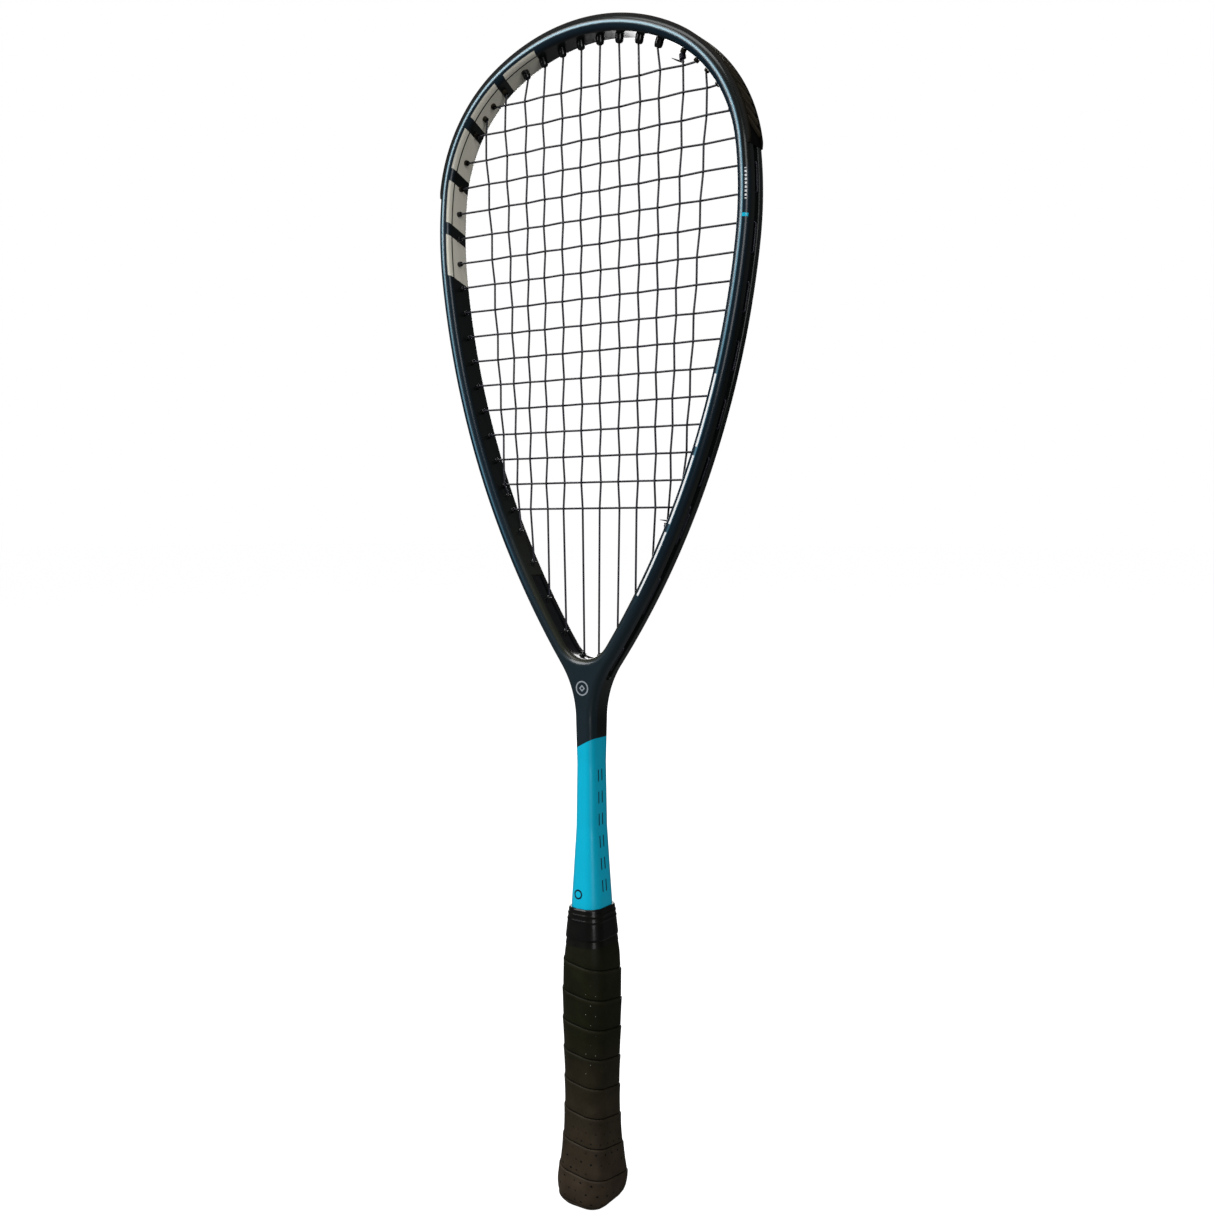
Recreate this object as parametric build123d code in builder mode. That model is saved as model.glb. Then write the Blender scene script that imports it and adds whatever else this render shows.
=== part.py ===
from build123d import *
import os
from math import cos, degrees, pi, radians, sin
from typing import NamedTuple

os.makedirs("parts", exist_ok=True)

# Squash racket with a teardrop head, in millimetres.
# Origin: centre of the butt's end face. +Z runs up the handle to the crown of the head,
# X runs across the string bed, and the front of the head looks along -Y.

# ---------------------------------------------------------------- driving dimensions
LENGTH = 686.0            # butt face to the top of the bumper

# Head tube
BEAM_DEPTH = 20.0         # front to back
BEAM_WIDTH = 8.0          # across the tube, in the plane of the strings
BEAM_NOSE = 3.9           # rounding of the tube's front and back
TUBE_WALL = 1.3
NOSE_WALL = 2.6           # the tube is thicker at its rounded front and back

# Centreline of the head from the crown down one side: (radius, degrees turned)
HOOP_ARCS = [(118.0, 30.0), (84.0, 53.5), (220.0, 13.0)]
LEG_RADIUS = 496.0        # long lower arc of the head
OUTER_LEG_TURN = 28.7     # how far the outer wall follows that arc before the throat
INNER_LEG_TURN = 27.7     # how far the inner wall follows it before the round of the V
CAVITY_LEG_TURN = 25.0    # where the hollow in each leg stops
WIDEST = 0.36             # part of the inner wall's length at which the head is widest

# Shaft and handle tube, rounded rectangles: (height, width, depth, corner radius)
SHAFT_TOP_WIDTH = 12.2
SHAFT_STATIONS = [(262.0, 12.2, 18.6, 4.6), (225.0, 13.6, 19.4, 5.2),
                  (197.0, 17.4, 22.0, 6.6), (180.0, 19.8, 24.0, 7.6)]
SHAFT_WALL = 1.5
TUBE_END_Z = 8.0

# Strings
STRING_RADIUS = 0.6
MAIN_X = [6.5, 19.4, 32.2, 44.4, 56.6, 68.6]     # mains on one side, at the middle of the bed
MAIN_FAN = [0.1, 0.3, 0.7, 1.2, 3.6, 6.6]        # how far each leans out per 100 mm of height
MAIN_MIDDLE_Z = 525.0
CROSS_LOW_Z = 410.0       # where the lowest cross enters the wall
CROSS_PITCH = 15.13
CROSS_COUNT = 17
WEAVE = 0.68              # how far a string leans out of the bed's plane at a crossing
CROSSING_BEND = 4.0       # arc of a string over a crossing
MOUTH_BEND = 1.5          # arc of a string where it leaves a grommet for the bed
OUTSIDE_BEND = 1.0        # arc where it turns along the outside of the head
LOOP_CLEARANCE = 0.7      # outside loops above the strip, at the corners between them
STAGGER = 0.75            # mains leave the head this far in front of its middle, crosses behind
EDGE_CLEARANCE = 4.0      # a main nearer to the wall than this passes in front of a cross's barrel
TAIL_PART = 0.75          # how far the string's ends run towards their tie-off grommets

# Knots: turns round a main and a cut tail
KNOT_TURNS = 2
KNOT_TURN_RADIUS = 1.3
KNOT_TURN_PITCH = 1.1
KNOT_GAP = 2.6            # between a grommet's mouth and the first turn of its knot
TAIL_LENGTH = 5.0

# Grommets
GROOVE_WIDTH = 5.0        # stringing groove round the outside of the head
GROOVE_DEPTH = 2.9
STRIP_WIDTH = 4.6
STRIP_THICKNESS = 1.0
BARREL_RADIUS = 1.6
CROWN_BARREL_RADIUS = 2.4
CROWN_BARREL_ROUNDING = 0.9
EYELET_RADIUS = 0.9
OUTLET_RADIUS = 1.35      # eyelets open out where the string turns along the strip
FIT = 0.05                # radial room of a barrel in its hole
BARREL_REACH = 2.4        # barrel standing out of the inner wall
CROWN_REACH = 4.6
THROAT_REACH = 1.8
CROWN_MAINS = 4           # mains on each side with a large crown grommet
THROAT_MAINS = 3          # mains on each side that enter the throat piece
CENTRE_SPLAY = 42.0       # degrees that the two centre mains turn out to the throat's sides
STRIP_TOP_Z = 599.0
STRIP_END_Z = 314.0       # centre of the strip's rounded lower end
THROAT_PIECE_TOP_Z = 372.0
THROAT_PIECE_DEPTH = 11.6
THROAT_PIECE_THICKNESS = 1.4
THROAT_CHANNEL_WIDTH = 7.6
THROAT_CHANNEL_DEPTH = 0.7

# Bumper
BUMPER_PROUD = 1.2        # outside the frame's outer wall
BUMPER_DEPTH = 15.6
BUMPER_END_Z = 600.0
CHANNEL_WIDTH = 3.6       # channel that the string loops lie in
RAIL_GROOVE_WIDTH = 0.9
RAIL_GROOVE_DEPTH = 0.5
RAIL_GROOVE_Y = 4.6       # from the middle to each groove in the bumper's face

# Handle, outside of the wrap: (height, how much wider and deeper than the plain handle)
HANDLE_WIDTH = 27.0
HANDLE_DEPTH = 32.0
HANDLE_CORNER = 9.5
CORNER_GROWTH = 0.25      # of the corner's radius, for each mm that the handle is wider
BUTT_STATIONS = [(1.2, 1.6), (3.5, 4.8), (7.0, 6.7), (12.0, 7.1), (22.0, 4.9),
                 (32.0, 2.6), (42.0, 0.8), (52.0, 0.0)]
SHOULDER_STATIONS = [(146.0, 0.0), (154.0, -2.7), (160.0, -2.9)]
WRAP_THICKNESS = 1.7
CAP_WALL = 1.6
CAP_END_THICKNESS = 2.4
CAP_FACE_GROWTH = 1.0     # of the flat end face
CAP_TOP_Z = 32.0
PALLET_TOP = (172.0, -3.2)
COLLAR_STATIONS = [(154.5, -0.3), (160.0, -0.6), (168.0, -2.2), (178.0, -5.2)]
COLLAR_WALL = 0.9
COLLAR_RIB_Z = [170.0, 173.0]
COLLAR_RIB_HEIGHT = 1.2
COLLAR_RIB_PROUD = 0.5
TAPE_LOW_Z = 156.0
TAPE_THICKNESS = 0.2

# Staples that hold the butt cap
STAPLE_WIRE_RADIUS = 0.35
STAPLE_CROWN = 6.0
STAPLE_LEG = 3.2
STAPLE_BEND = 0.8
STAPLE_Z = 20.0

# ---------------------------------------------------------------- head outline
CROWN_Z = LENGTH - BUMPER_PROUD - BEAM_WIDTH / 2
OUTER = BEAM_WIDTH / 2                 # offset of the outer wall from the centreline
INNER = -BEAM_WIDTH / 2
FLOOR = OUTER - GROOVE_DEPTH           # offset of the stringing groove's floor
FAR = 300.0                            # beyond the head on any side
CUT_PAST = 1.0                         # how far a cut runs past the surface that it opens
SIDES = (-1, 1)
MAINS_PER_SIDE = len(MAIN_X)
BISECTIONS = 40
BOTTOM = (Align.CENTER, Align.CENTER, Align.MIN)


def draw_side(offset, leg_turn):
    """Draws one side of a curve parallel to the head's centreline, from the crown down.
    Returns its lower end and how far it leans from the vertical there."""
    x, z, heading = 0.0, CROWN_Z + offset, 0.0
    for radius, turn in HOOP_ARCS + [(LEG_RADIUS, leg_turn)]:
        JernArc((x, z), (cos(heading), sin(heading)), radius + offset, -turn)
        chord = 2 * (radius + offset) * sin(radians(turn) / 2)
        x += chord * cos(heading - radians(turn) / 2)
        z += chord * sin(heading - radians(turn) / 2)
        heading -= radians(turn)
    return (x, z), -heading - radians(90)


def draw_outer(offset):
    """Outer side of the head and throat, down to where the shaft begins."""
    end, lean = draw_side(offset, OUTER_LEG_TURN)
    shaft_x = SHAFT_TOP_WIDTH / 2 + offset - OUTER
    throat_radius = (end[0] - shaft_x) / (1 - cos(lean))
    return JernArc(end, (-sin(lean), -cos(lean)), throat_radius, degrees(lean)) @ 1


def draw_inner(offset):
    """Inner side of the head, down to the bottom of the V on the middle line."""
    end, lean = draw_side(offset, INNER_LEG_TURN)
    round_radius = end[0] / cos(lean)
    return JernArc(end, (-sin(lean), -cos(lean)), round_radius, degrees(lean) - 90) @ 1


def draw_leg(offset):
    """The head's side only as far as the tube is hollow."""
    return draw_side(offset, CAVITY_LEG_TURN)[0]


def draw_band(low, high, draw, z_low=0.0, z_high=LENGTH):
    """Ring between two offsets from the centreline, on both sides of the head, between
    two heights. It is drawn in the sketch that calls it."""
    with BuildLine() as outline:
        Line((0, CROWN_Z + low), (0, CROWN_Z + high))
        Line(draw(high), draw(low))
    make_face(outline.edges())
    mirror(about=Plane.YZ)
    with Locations((0, (z_low + z_high) / 2)):
        Rectangle(FAR, z_high - z_low, mode=Mode.INTERSECT)


# ---------------------------------------------------------------- where the strings pass
class Passage(NamedTuple):
    """Where a string goes through the head's wall."""
    inner: Vector         # on the inner wall
    outer: Vector         # on the floor of the stringing groove
    normal: Vector        # outward across the wall

    @property
    def along(self):
        return (self.outer - self.inner).normalized()

    def mouth(self, reach):
        """Point on the passage that far inside the inner wall."""
        return self.inner - self.along * reach

    def over_strip(self):
        """Centre of the string where it turns along the outside."""
        height = STRIP_THICKNESS + LOOP_CLEARANCE + STRING_RADIUS
        return self.outer + self.along * (height / self.along.dot(self.normal))


with BuildLine() as inner_side:
    draw_inner(INNER)
with BuildLine() as floor_side:
    draw_outer(FLOOR)
INNER_WALL = inner_side.wires()[0]
FLOOR_WALL = floor_side.wires()[0]


def groove_end(side):
    """Plane on the groove's floor at the centre of its rounded lower end."""
    at = meet(FLOOR_WALL, lambda point: point.Y - STRIP_END_Z)
    point, tangent = FLOOR_WALL @ at, FLOOR_WALL % at
    return Plane(origin=(side * point.X, 0, point.Y), x_dir=(0, 1, 0),
                 z_dir=(-side * tangent.Y, 0, tangent.X))


def meet(wall, gap, low=0.0, high=1.0):
    """Parameter of the wall between low and high at which gap(point) changes sign."""
    starts_positive = gap(wall @ low) > 0
    for _ in range(BISECTIONS):
        middle = (low + high) / 2
        if (gap(wall @ middle) > 0) == starts_positive:
            low = middle
        else:
            high = middle
    return low


def passage(side, gap, low, high, turn_to, leave_y):
    """Passage of the string that crosses the inner wall where gap changes sign.
    turn_to gives its direction through the wall from the wall's outward normal."""
    at = meet(INNER_WALL, gap, low, high)
    inner = INNER_WALL @ at
    tangent = INNER_WALL % at
    out = turn_to(Vector(-tangent.Y, tangent.X)).normalized()
    leave = meet(FLOOR_WALL, lambda point: (point - inner).cross(out).Z, low, high)
    outer = FLOOR_WALL @ leave
    wall = FLOOR_WALL % leave
    return Passage(Vector(side * inner.X, 0, inner.Y), Vector(side * outer.X, leave_y, outer.Y),
                   Vector(-side * wall.Y, 0, wall.X))


def main_x(index, z):
    return MAIN_X[index] + MAIN_FAN[index] * (z - MAIN_MIDDLE_Z) / 100


def crown_passage(side, index):
    """A main goes straight across the wall at the crown."""
    return passage(side, lambda point: point.X - main_x(index, point.Y), 0, WIDEST,
                   lambda normal: normal, -STAGGER)


def foot_passage(side, index):
    """A main turns half way to the wall's normal at its foot; the centre mains splay out."""
    splay = Vector(sin(radians(CENTRE_SPLAY)), -cos(radians(CENTRE_SPLAY)))
    return passage(side, lambda point: point.X - main_x(index, point.Y), WIDEST, 1,
                   lambda normal: normal + Vector(0, -1) if index else splay, -STAGGER)


def cross_passage(side, row):
    z = CROSS_LOW_Z + CROSS_PITCH * row
    return passage(side, lambda point: point.Y - z, 0, 1, lambda normal: normal, STAGGER)


MAINS = [(-1, i) for i in reversed(range(MAINS_PER_SIDE))] + [(1, i) for i in range(MAINS_PER_SIDE)]
crown_ends = {main: crown_passage(*main) for main in MAINS}
foot_ends = {main: foot_passage(*main) for main in MAINS}
cross_ends = {(s, row): cross_passage(s, row) for s in SIDES for row in range(CROSS_COUNT)}

# Grommets by the piece that carries them
crown_grommet_ends = [crown_ends[s, i] for s in SIDES for i in range(CROWN_MAINS)]
bumper_ends = [crown_ends[s, i] for s in SIDES for i in range(CROWN_MAINS, MAINS_PER_SIDE)]
bumper_ends += [end for end in cross_ends.values() if end.outer.Z > BUMPER_END_Z]
throat_ends = [foot_ends[s, i] for s in SIDES for i in range(THROAT_MAINS)]


def strip_ends(side):
    mains = [foot_ends[side, i] for i in range(THROAT_MAINS, MAINS_PER_SIDE)]
    return mains + [end for (s, row), end in cross_ends.items()
                    if s == side and end.outer.Z < BUMPER_END_Z]


def bore(ends, radius, start, beyond, mode):
    """Cylinders along passages, from start inside the inner wall to beyond the groove's floor."""
    for end in ends:
        length = start + (end.outer - end.inner).length + beyond
        with Locations(Plane(origin=end.mouth(start), z_dir=end.along)):
            Cylinder(radius, length, align=BOTTOM, mode=mode)


def stacked(stations, inset=0.0, mode=Mode.ADD):
    """Solid through rounded rectangles: (height, width, depth, corner radius), each set in."""
    sections = []
    for z, width, depth, corner in stations:
        with BuildSketch(Plane.XY.offset(z)) as section:
            RectangleRounded(width - 2 * inset, depth - 2 * inset, corner - inset)
        sections.append(section.sketch.face())
    loft(sections=sections, ruled=True, mode=mode)


def handle(stations, inset=0.0, mode=Mode.ADD):
    """Solid of the handle's shape: (height, growth), set in from the outside of the wrap."""
    stacked([(z, HANDLE_WIDTH + growth, HANDLE_DEPTH + growth, HANDLE_CORNER + growth * CORNER_GROWTH)
             for z, growth in stations], inset, mode)


def open_outlets(ends):
    """Widens the eyelets through the strip, where the string turns."""
    for end in ends:
        with Locations(Plane(origin=end.outer, z_dir=end.along)):
            Cylinder(OUTLET_RADIUS, OUTER, align=BOTTOM, mode=Mode.SUBTRACT)


def growth_at(z, stations):
    """Growth of the handle's shape at a height between its stations."""
    for (z0, g0), (z1, g1) in zip(stations, stations[1:]):
        if z0 <= z <= z1:
            return g0 + (g1 - g0) * (z - z0) / (z1 - z0)
    raise ValueError(z)


def between(stations, z_low, z_high):
    """Stations of the handle's shape cut off at two heights."""
    ends = [(z, growth_at(z, stations)) for z in (z_low, z_high)]
    return [ends[0]] + [s for s in stations if z_low < s[0] < z_high] + [ends[1]]


def finish(piece, name):
    piece.part.label = name
    export_step(piece.part, f"parts/{name}.step")
    print(name, piece.part.is_valid, len(piece.solids()), round(piece.part.volume))


# ---------------------------------------------------------------- frame
with BuildPart() as frame:
    with BuildSketch(Plane.XZ):
        with BuildLine():
            foot = draw_outer(OUTER)
            v_bottom = draw_inner(INNER)
            Line((0, CROWN_Z + OUTER), (0, CROWN_Z + INNER))
            Polyline(foot, (0, foot.Y), v_bottom)
        make_face()
        mirror(about=Plane.YZ)
    extrude(amount=BEAM_DEPTH / 2, both=True)
    rims = frame.faces().filter_by(Axis.Y).edges()
    fillet(rims.filter_by(lambda edge: edge.center().Z > foot.Y + FIT), radius=BEAM_NOSE)

    # shaft and the tube inside the handle
    shaft_top = (foot.Y, SHAFT_TOP_WIDTH, BEAM_DEPTH, BEAM_NOSE)
    tube_end = (TUBE_END_Z,) + SHAFT_STATIONS[-1][1:]
    stacked([shaft_top] + SHAFT_STATIONS + [tube_end])
    stacked(SHAFT_STATIONS + [tube_end], inset=SHAFT_WALL, mode=Mode.SUBTRACT)

    # hollow of the head, on the inner side of the stringing groove
    with BuildSketch(Plane.XZ):
        draw_band(INNER + TUBE_WALL, FLOOR - TUBE_WALL, draw_leg)
    extrude(amount=BEAM_DEPTH / 2 - NOSE_WALL, both=True, mode=Mode.SUBTRACT)

    # stringing groove, rounded at its lower end on each side
    with BuildSketch(Plane.XZ):
        draw_band(FLOOR, OUTER + CUT_PAST, draw_outer, z_low=STRIP_END_Z)
    extrude(amount=GROOVE_WIDTH / 2, both=True, mode=Mode.SUBTRACT)

    for side in SIDES:
        with Locations(groove_end(side)):
            Cylinder(GROOVE_WIDTH / 2, GROOVE_DEPTH + CUT_PAST, align=BOTTOM, mode=Mode.SUBTRACT)

    # recess for the throat piece
    with BuildSketch(Plane.XZ):
        draw_band(INNER - CUT_PAST, INNER + THROAT_PIECE_THICKNESS, draw_inner,
                  z_high=THROAT_PIECE_TOP_Z)
    extrude(amount=THROAT_PIECE_DEPTH / 2 + FIT, both=True, mode=Mode.SUBTRACT)

    small_ends = bumper_ends + strip_ends(-1) + strip_ends(1) + throat_ends
    for ends, radius in ((small_ends, BARREL_RADIUS), (crown_grommet_ends, CROWN_BARREL_RADIUS)):
        bore(ends, radius + FIT, 2 * CUT_PAST, CUT_PAST, Mode.SUBTRACT)
finish(frame, "frame")

# ---------------------------------------------------------------- bumper and grommets
with BuildPart() as bumper_guard:
    with BuildSketch(Plane.XZ):
        draw_band(FLOOR, OUTER + BUMPER_PROUD, draw_outer, z_low=BUMPER_END_Z)
    extrude(amount=BUMPER_DEPTH / 2, both=True)
    add(frame.part, mode=Mode.SUBTRACT)
    with BuildSketch(Plane.XZ):
        draw_band(FLOOR + STRIP_THICKNESS, OUTER + BUMPER_PROUD + CUT_PAST, draw_outer)
    extrude(amount=CHANNEL_WIDTH / 2, both=True, mode=Mode.SUBTRACT)
    for y in (-RAIL_GROOVE_Y, RAIL_GROOVE_Y):
        with BuildSketch(Plane.XZ.offset(y - RAIL_GROOVE_WIDTH / 2)):
            top = OUTER + BUMPER_PROUD
            draw_band(top - RAIL_GROOVE_DEPTH, top + CUT_PAST, draw_outer)
        extrude(amount=RAIL_GROOVE_WIDTH, mode=Mode.SUBTRACT)
    bore(bumper_ends, BARREL_RADIUS, BARREL_REACH, STRIP_THICKNESS / 2, Mode.ADD)
    bore(bumper_ends + crown_grommet_ends, EYELET_RADIUS, BARREL_REACH + CUT_PAST,
         STRIP_THICKNESS + CUT_PAST, Mode.SUBTRACT)
    open_outlets(bumper_ends + crown_grommet_ends)
finish(bumper_guard, "bumper_guard")

with BuildPart() as crown_grommets:
    bore(crown_grommet_ends, CROWN_BARREL_RADIUS, CROWN_REACH, -FIT, Mode.ADD)
    lower_rims = [solid.edges().sort_by(Axis.Z)[0] for solid in crown_grommets.solids()]
    fillet(lower_rims, radius=CROWN_BARREL_ROUNDING)
    bore(crown_grommet_ends, EYELET_RADIUS, CROWN_REACH + CUT_PAST, CUT_PAST, Mode.SUBTRACT)
    add(bumper_guard.part, mode=Mode.SUBTRACT)
finish(crown_grommets, "crown_grommets")

strips = []
for side, name in ((-1, "grommet_strip_left"), (1, "grommet_strip_right")):
    with BuildPart() as strip:
        with BuildSketch(Plane.XZ):
            draw_band(FLOOR, FLOOR + STRIP_THICKNESS, draw_outer, STRIP_END_Z, STRIP_TOP_Z)
            with Locations((side * FAR / 2, LENGTH / 2)):
                Rectangle(FAR, LENGTH, mode=Mode.INTERSECT)
        extrude(amount=STRIP_WIDTH / 2, both=True)
        with Locations(groove_end(side)):
            Cylinder(STRIP_WIDTH / 2, STRIP_THICKNESS, align=BOTTOM)
        bore(strip_ends(side), BARREL_RADIUS, BARREL_REACH, STRIP_THICKNESS / 2, Mode.ADD)
        bore(strip_ends(side), EYELET_RADIUS, BARREL_REACH + CUT_PAST,
             STRIP_THICKNESS + 2 * CUT_PAST, Mode.SUBTRACT)
        own_throat_ends = [end for end in throat_ends if end.outer.X * side > 0]
        bore(own_throat_ends, EYELET_RADIUS, 0, STRIP_THICKNESS + 2 * CUT_PAST, Mode.SUBTRACT)
        open_outlets(strip_ends(side) + own_throat_ends)
    finish(strip, name)
    strips.append(strip.part)

with BuildPart() as throat_grommet:
    with BuildSketch(Plane.XZ):
        draw_band(INNER, INNER + THROAT_PIECE_THICKNESS, draw_inner, z_high=THROAT_PIECE_TOP_Z)
    extrude(amount=THROAT_PIECE_DEPTH / 2, both=True)
    with BuildSketch(Plane.XZ):
        draw_band(INNER - CUT_PAST, INNER + THROAT_CHANNEL_DEPTH, draw_inner,
                  z_high=THROAT_PIECE_TOP_Z)
    extrude(amount=THROAT_CHANNEL_WIDTH / 2, both=True, mode=Mode.SUBTRACT)
    bore(throat_ends, BARREL_RADIUS, THROAT_REACH, -FIT, Mode.ADD)
    bore(throat_ends, EYELET_RADIUS, THROAT_REACH + CUT_PAST, STRIP_THICKNESS + 2 * CUT_PAST,
         Mode.SUBTRACT)
    add(strips, mode=Mode.SUBTRACT)
finish(throat_grommet, "throat_grommet")


# ---------------------------------------------------------------- string
OVER_BARREL = BARREL_RADIUS + STRING_RADIUS + FIT - STAGGER   # a main in front of a cross's barrel


def crossing(main, row):
    """Where a main and a cross meet in the plane of the bed, or None if they don't."""
    side, index = main
    z = cross_ends[side, row].mouth(BARREL_REACH).Z
    if foot_ends[main].inner.Z < z < crown_ends[main].inner.Z:
        return Vector(side * main_x(index, z), 0, z)
    return None


def beside_barrel(main, row):
    return cross_ends[1, row].inner.X - abs(crossing(main, row).X) < EDGE_CLEARANCE


def lean(main, row):
    """How far forward the cross passes at a crossing; the main passes as far behind."""
    return WEAVE if (MAINS.index(main) + row) % 2 else -WEAVE


def main_points(main):
    """Route of one main through the bed, from its foot to the crown."""
    side, index = main
    points = [foot_ends[main].mouth(THROAT_REACH if index < THROAT_MAINS else BARREL_REACH)]
    for row in range(CROSS_COUNT):
        if crossing(main, row):
            y = -OVER_BARREL if beside_barrel(main, row) else lean(main, row)
            points.append(crossing(main, row) + Vector(0, y, 0))
    points.append(crown_ends[main].mouth(CROWN_REACH if index < CROWN_MAINS else BARREL_REACH))
    return points


def cross_points(row):
    """Route of one cross through the bed, towards +X."""
    points = [cross_ends[-1, row].mouth(BARREL_REACH)]
    for main in MAINS:
        if crossing(main, row) and not beside_barrel(main, row):
            points.append(crossing(main, row) - Vector(0, lean(main, row), 0))
    points.append(cross_ends[1, row].mouth(BARREL_REACH))
    return points


def string_runs():
    """The string as runs from one outside corner to the next, in the order it is strung:
    mains from +X to -X, then crosses from the crown down, each turning back at the frame."""
    runs = []
    for count, main in enumerate(reversed(MAINS)):
        run = [foot_ends[main].over_strip()] + main_points(main) + [crown_ends[main].over_strip()]
        runs.append(run if count % 2 else run[::-1])
    for count, row in enumerate(reversed(range(CROSS_COUNT))):
        run = [cross_ends[-1, row].over_strip()] + cross_points(row) + [cross_ends[1, row].over_strip()]
        runs.append(run[::-1] if count % 2 else run)
    return runs


def towards(start, end):
    """Part of the way along the outside to a tie-off grommet, in the start's own lane."""
    point = start + (end - start) * TAIL_PART
    return Vector(point.X, start.Y, point.Z)


tie_off_main = MAINS[-2]
runs = string_runs()
half_loops = [(before[-1] + after[0]) / 2 for before, after in zip(runs, runs[1:])]
loop_ends = ([towards(runs[0][0], crown_ends[tie_off_main].over_strip())] + half_loops
             + [towards(runs[-1][-1], foot_ends[tie_off_main].over_strip())])

with BuildPart() as string:
    with BuildLine() as route:
        for start, run, end in zip(loop_ends, runs, loop_ends[1:]):
            ends = [OUTSIDE_BEND, MOUTH_BEND]
            bends = ends + [CROSSING_BEND] * (len(run) - 4) + ends[::-1]
            FilletPolyline(start, *run, end, radius=bends)
    string_path = route.wires()[0]
    with BuildSketch(Plane(origin=string_path @ 0, z_dir=string_path % 0)):
        Circle(STRING_RADIUS)
    sweep(path=string_path)
finish(string, "string")
section = pi * STRING_RADIUS ** 2
print("string length", round(string_path.length), "volume", round(section * string_path.length))

with BuildPart() as string_knots:
    points = main_points(tie_off_main)
    for mouth, towards_bed in ((points[0], points[1]), (points[-1], points[-2])):
        main_way = (towards_bed - mouth).normalized()
        for turn in range(KNOT_TURNS):
            centre = mouth + main_way * (KNOT_GAP + turn * KNOT_TURN_PITCH)
            with Locations(Plane(origin=centre, x_dir=(0, 1, 0), z_dir=main_way)):
                Torus(KNOT_TURN_RADIUS, STRING_RADIUS)
        tail_start = centre + Vector(0, -KNOT_TURN_RADIUS, 0)
        with Locations(Plane(origin=tail_start, z_dir=(-1, 0, 0))):
            Cylinder(STRING_RADIUS, TAIL_LENGTH, align=BOTTOM)
finish(string_knots, "string_knots")

# ---------------------------------------------------------------- handle
WRAP_STATIONS = BUTT_STATIONS + SHOULDER_STATIONS
UNDER_WRAP = WRAP_THICKNESS + FIT
UNDER_CAP = UNDER_WRAP + CAP_WALL + FIT

with BuildPart() as foam_core:
    stacked(SHAFT_STATIONS + [tube_end], inset=SHAFT_WALL)
finish(foam_core, "foam_core")

with BuildPart() as butt_cap_staples:
    for across in (-1, 1):
        for width, turn in ((HANDLE_DEPTH, 0), (HANDLE_WIDTH, 90)):
            surface = (width + growth_at(STAPLE_Z, WRAP_STATIONS)) / 2 - UNDER_WRAP
            depth = surface - STAPLE_WIRE_RADIUS - FIT
            crown = Plane.XY.offset(STAPLE_Z).rotated((0, 0, turn))
            half = STAPLE_CROWN / 2
            with BuildLine(crown) as wire:
                FilletPolyline((-half, across * (depth - STAPLE_LEG)), (-half, across * depth),
                               (half, across * depth), (half, across * (depth - STAPLE_LEG)),
                               radius=STAPLE_BEND)
            with BuildSketch(Plane(origin=wire.line @ 0, z_dir=wire.line % 0)):
                Circle(STAPLE_WIRE_RADIUS)
            sweep(path=wire.line)
finish(butt_cap_staples, "butt_cap_staples")

with BuildPart() as butt_cap:
    cap_outside = [(0.0, CAP_FACE_GROWTH)] + between(WRAP_STATIONS, BUTT_STATIONS[0][0], CAP_TOP_Z)
    handle(cap_outside, inset=UNDER_WRAP)
    cap_inside = between(cap_outside, CAP_END_THICKNESS, CAP_TOP_Z)
    handle(cap_inside, inset=UNDER_CAP - FIT, mode=Mode.SUBTRACT)
    add(butt_cap_staples.part, mode=Mode.SUBTRACT)
finish(butt_cap, "butt_cap")

with BuildPart() as handle_pallet:
    handle(between(WRAP_STATIONS, TUBE_END_Z, CAP_TOP_Z), inset=UNDER_CAP)
    upper = between(WRAP_STATIONS, CAP_TOP_Z, SHOULDER_STATIONS[-1][0])
    handle(upper + [PALLET_TOP], inset=UNDER_WRAP)
    add(frame.part, mode=Mode.SUBTRACT)
    add(foam_core.part, mode=Mode.SUBTRACT)
    add(butt_cap_staples.part, mode=Mode.SUBTRACT)
finish(handle_pallet, "handle_pallet")

with BuildPart() as grip_wrap:
    handle(WRAP_STATIONS)
    handle(WRAP_STATIONS, inset=WRAP_THICKNESS, mode=Mode.SUBTRACT)
finish(grip_wrap, "grip_wrap")

with BuildPart() as finishing_tape:
    tape_stations = between(WRAP_STATIONS, TAPE_LOW_Z, SHOULDER_STATIONS[-1][0])
    handle(tape_stations, inset=-TAPE_THICKNESS)
    handle(tape_stations, mode=Mode.SUBTRACT)
finish(finishing_tape, "finishing_tape")

with BuildPart() as grip_collar:
    handle(COLLAR_STATIONS)
    for z in COLLAR_RIB_Z:
        growth = growth_at(z, COLLAR_STATIONS) + 2 * COLLAR_RIB_PROUD
        handle([(z, growth), (z + COLLAR_RIB_HEIGHT, growth - FIT)])
    handle(COLLAR_STATIONS, inset=COLLAR_WALL, mode=Mode.SUBTRACT)
    for inner_piece in (frame, handle_pallet, grip_wrap, finishing_tape):
        add(inner_piece.part, mode=Mode.SUBTRACT)
finish(grip_collar, "grip_collar")
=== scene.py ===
import math

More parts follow.
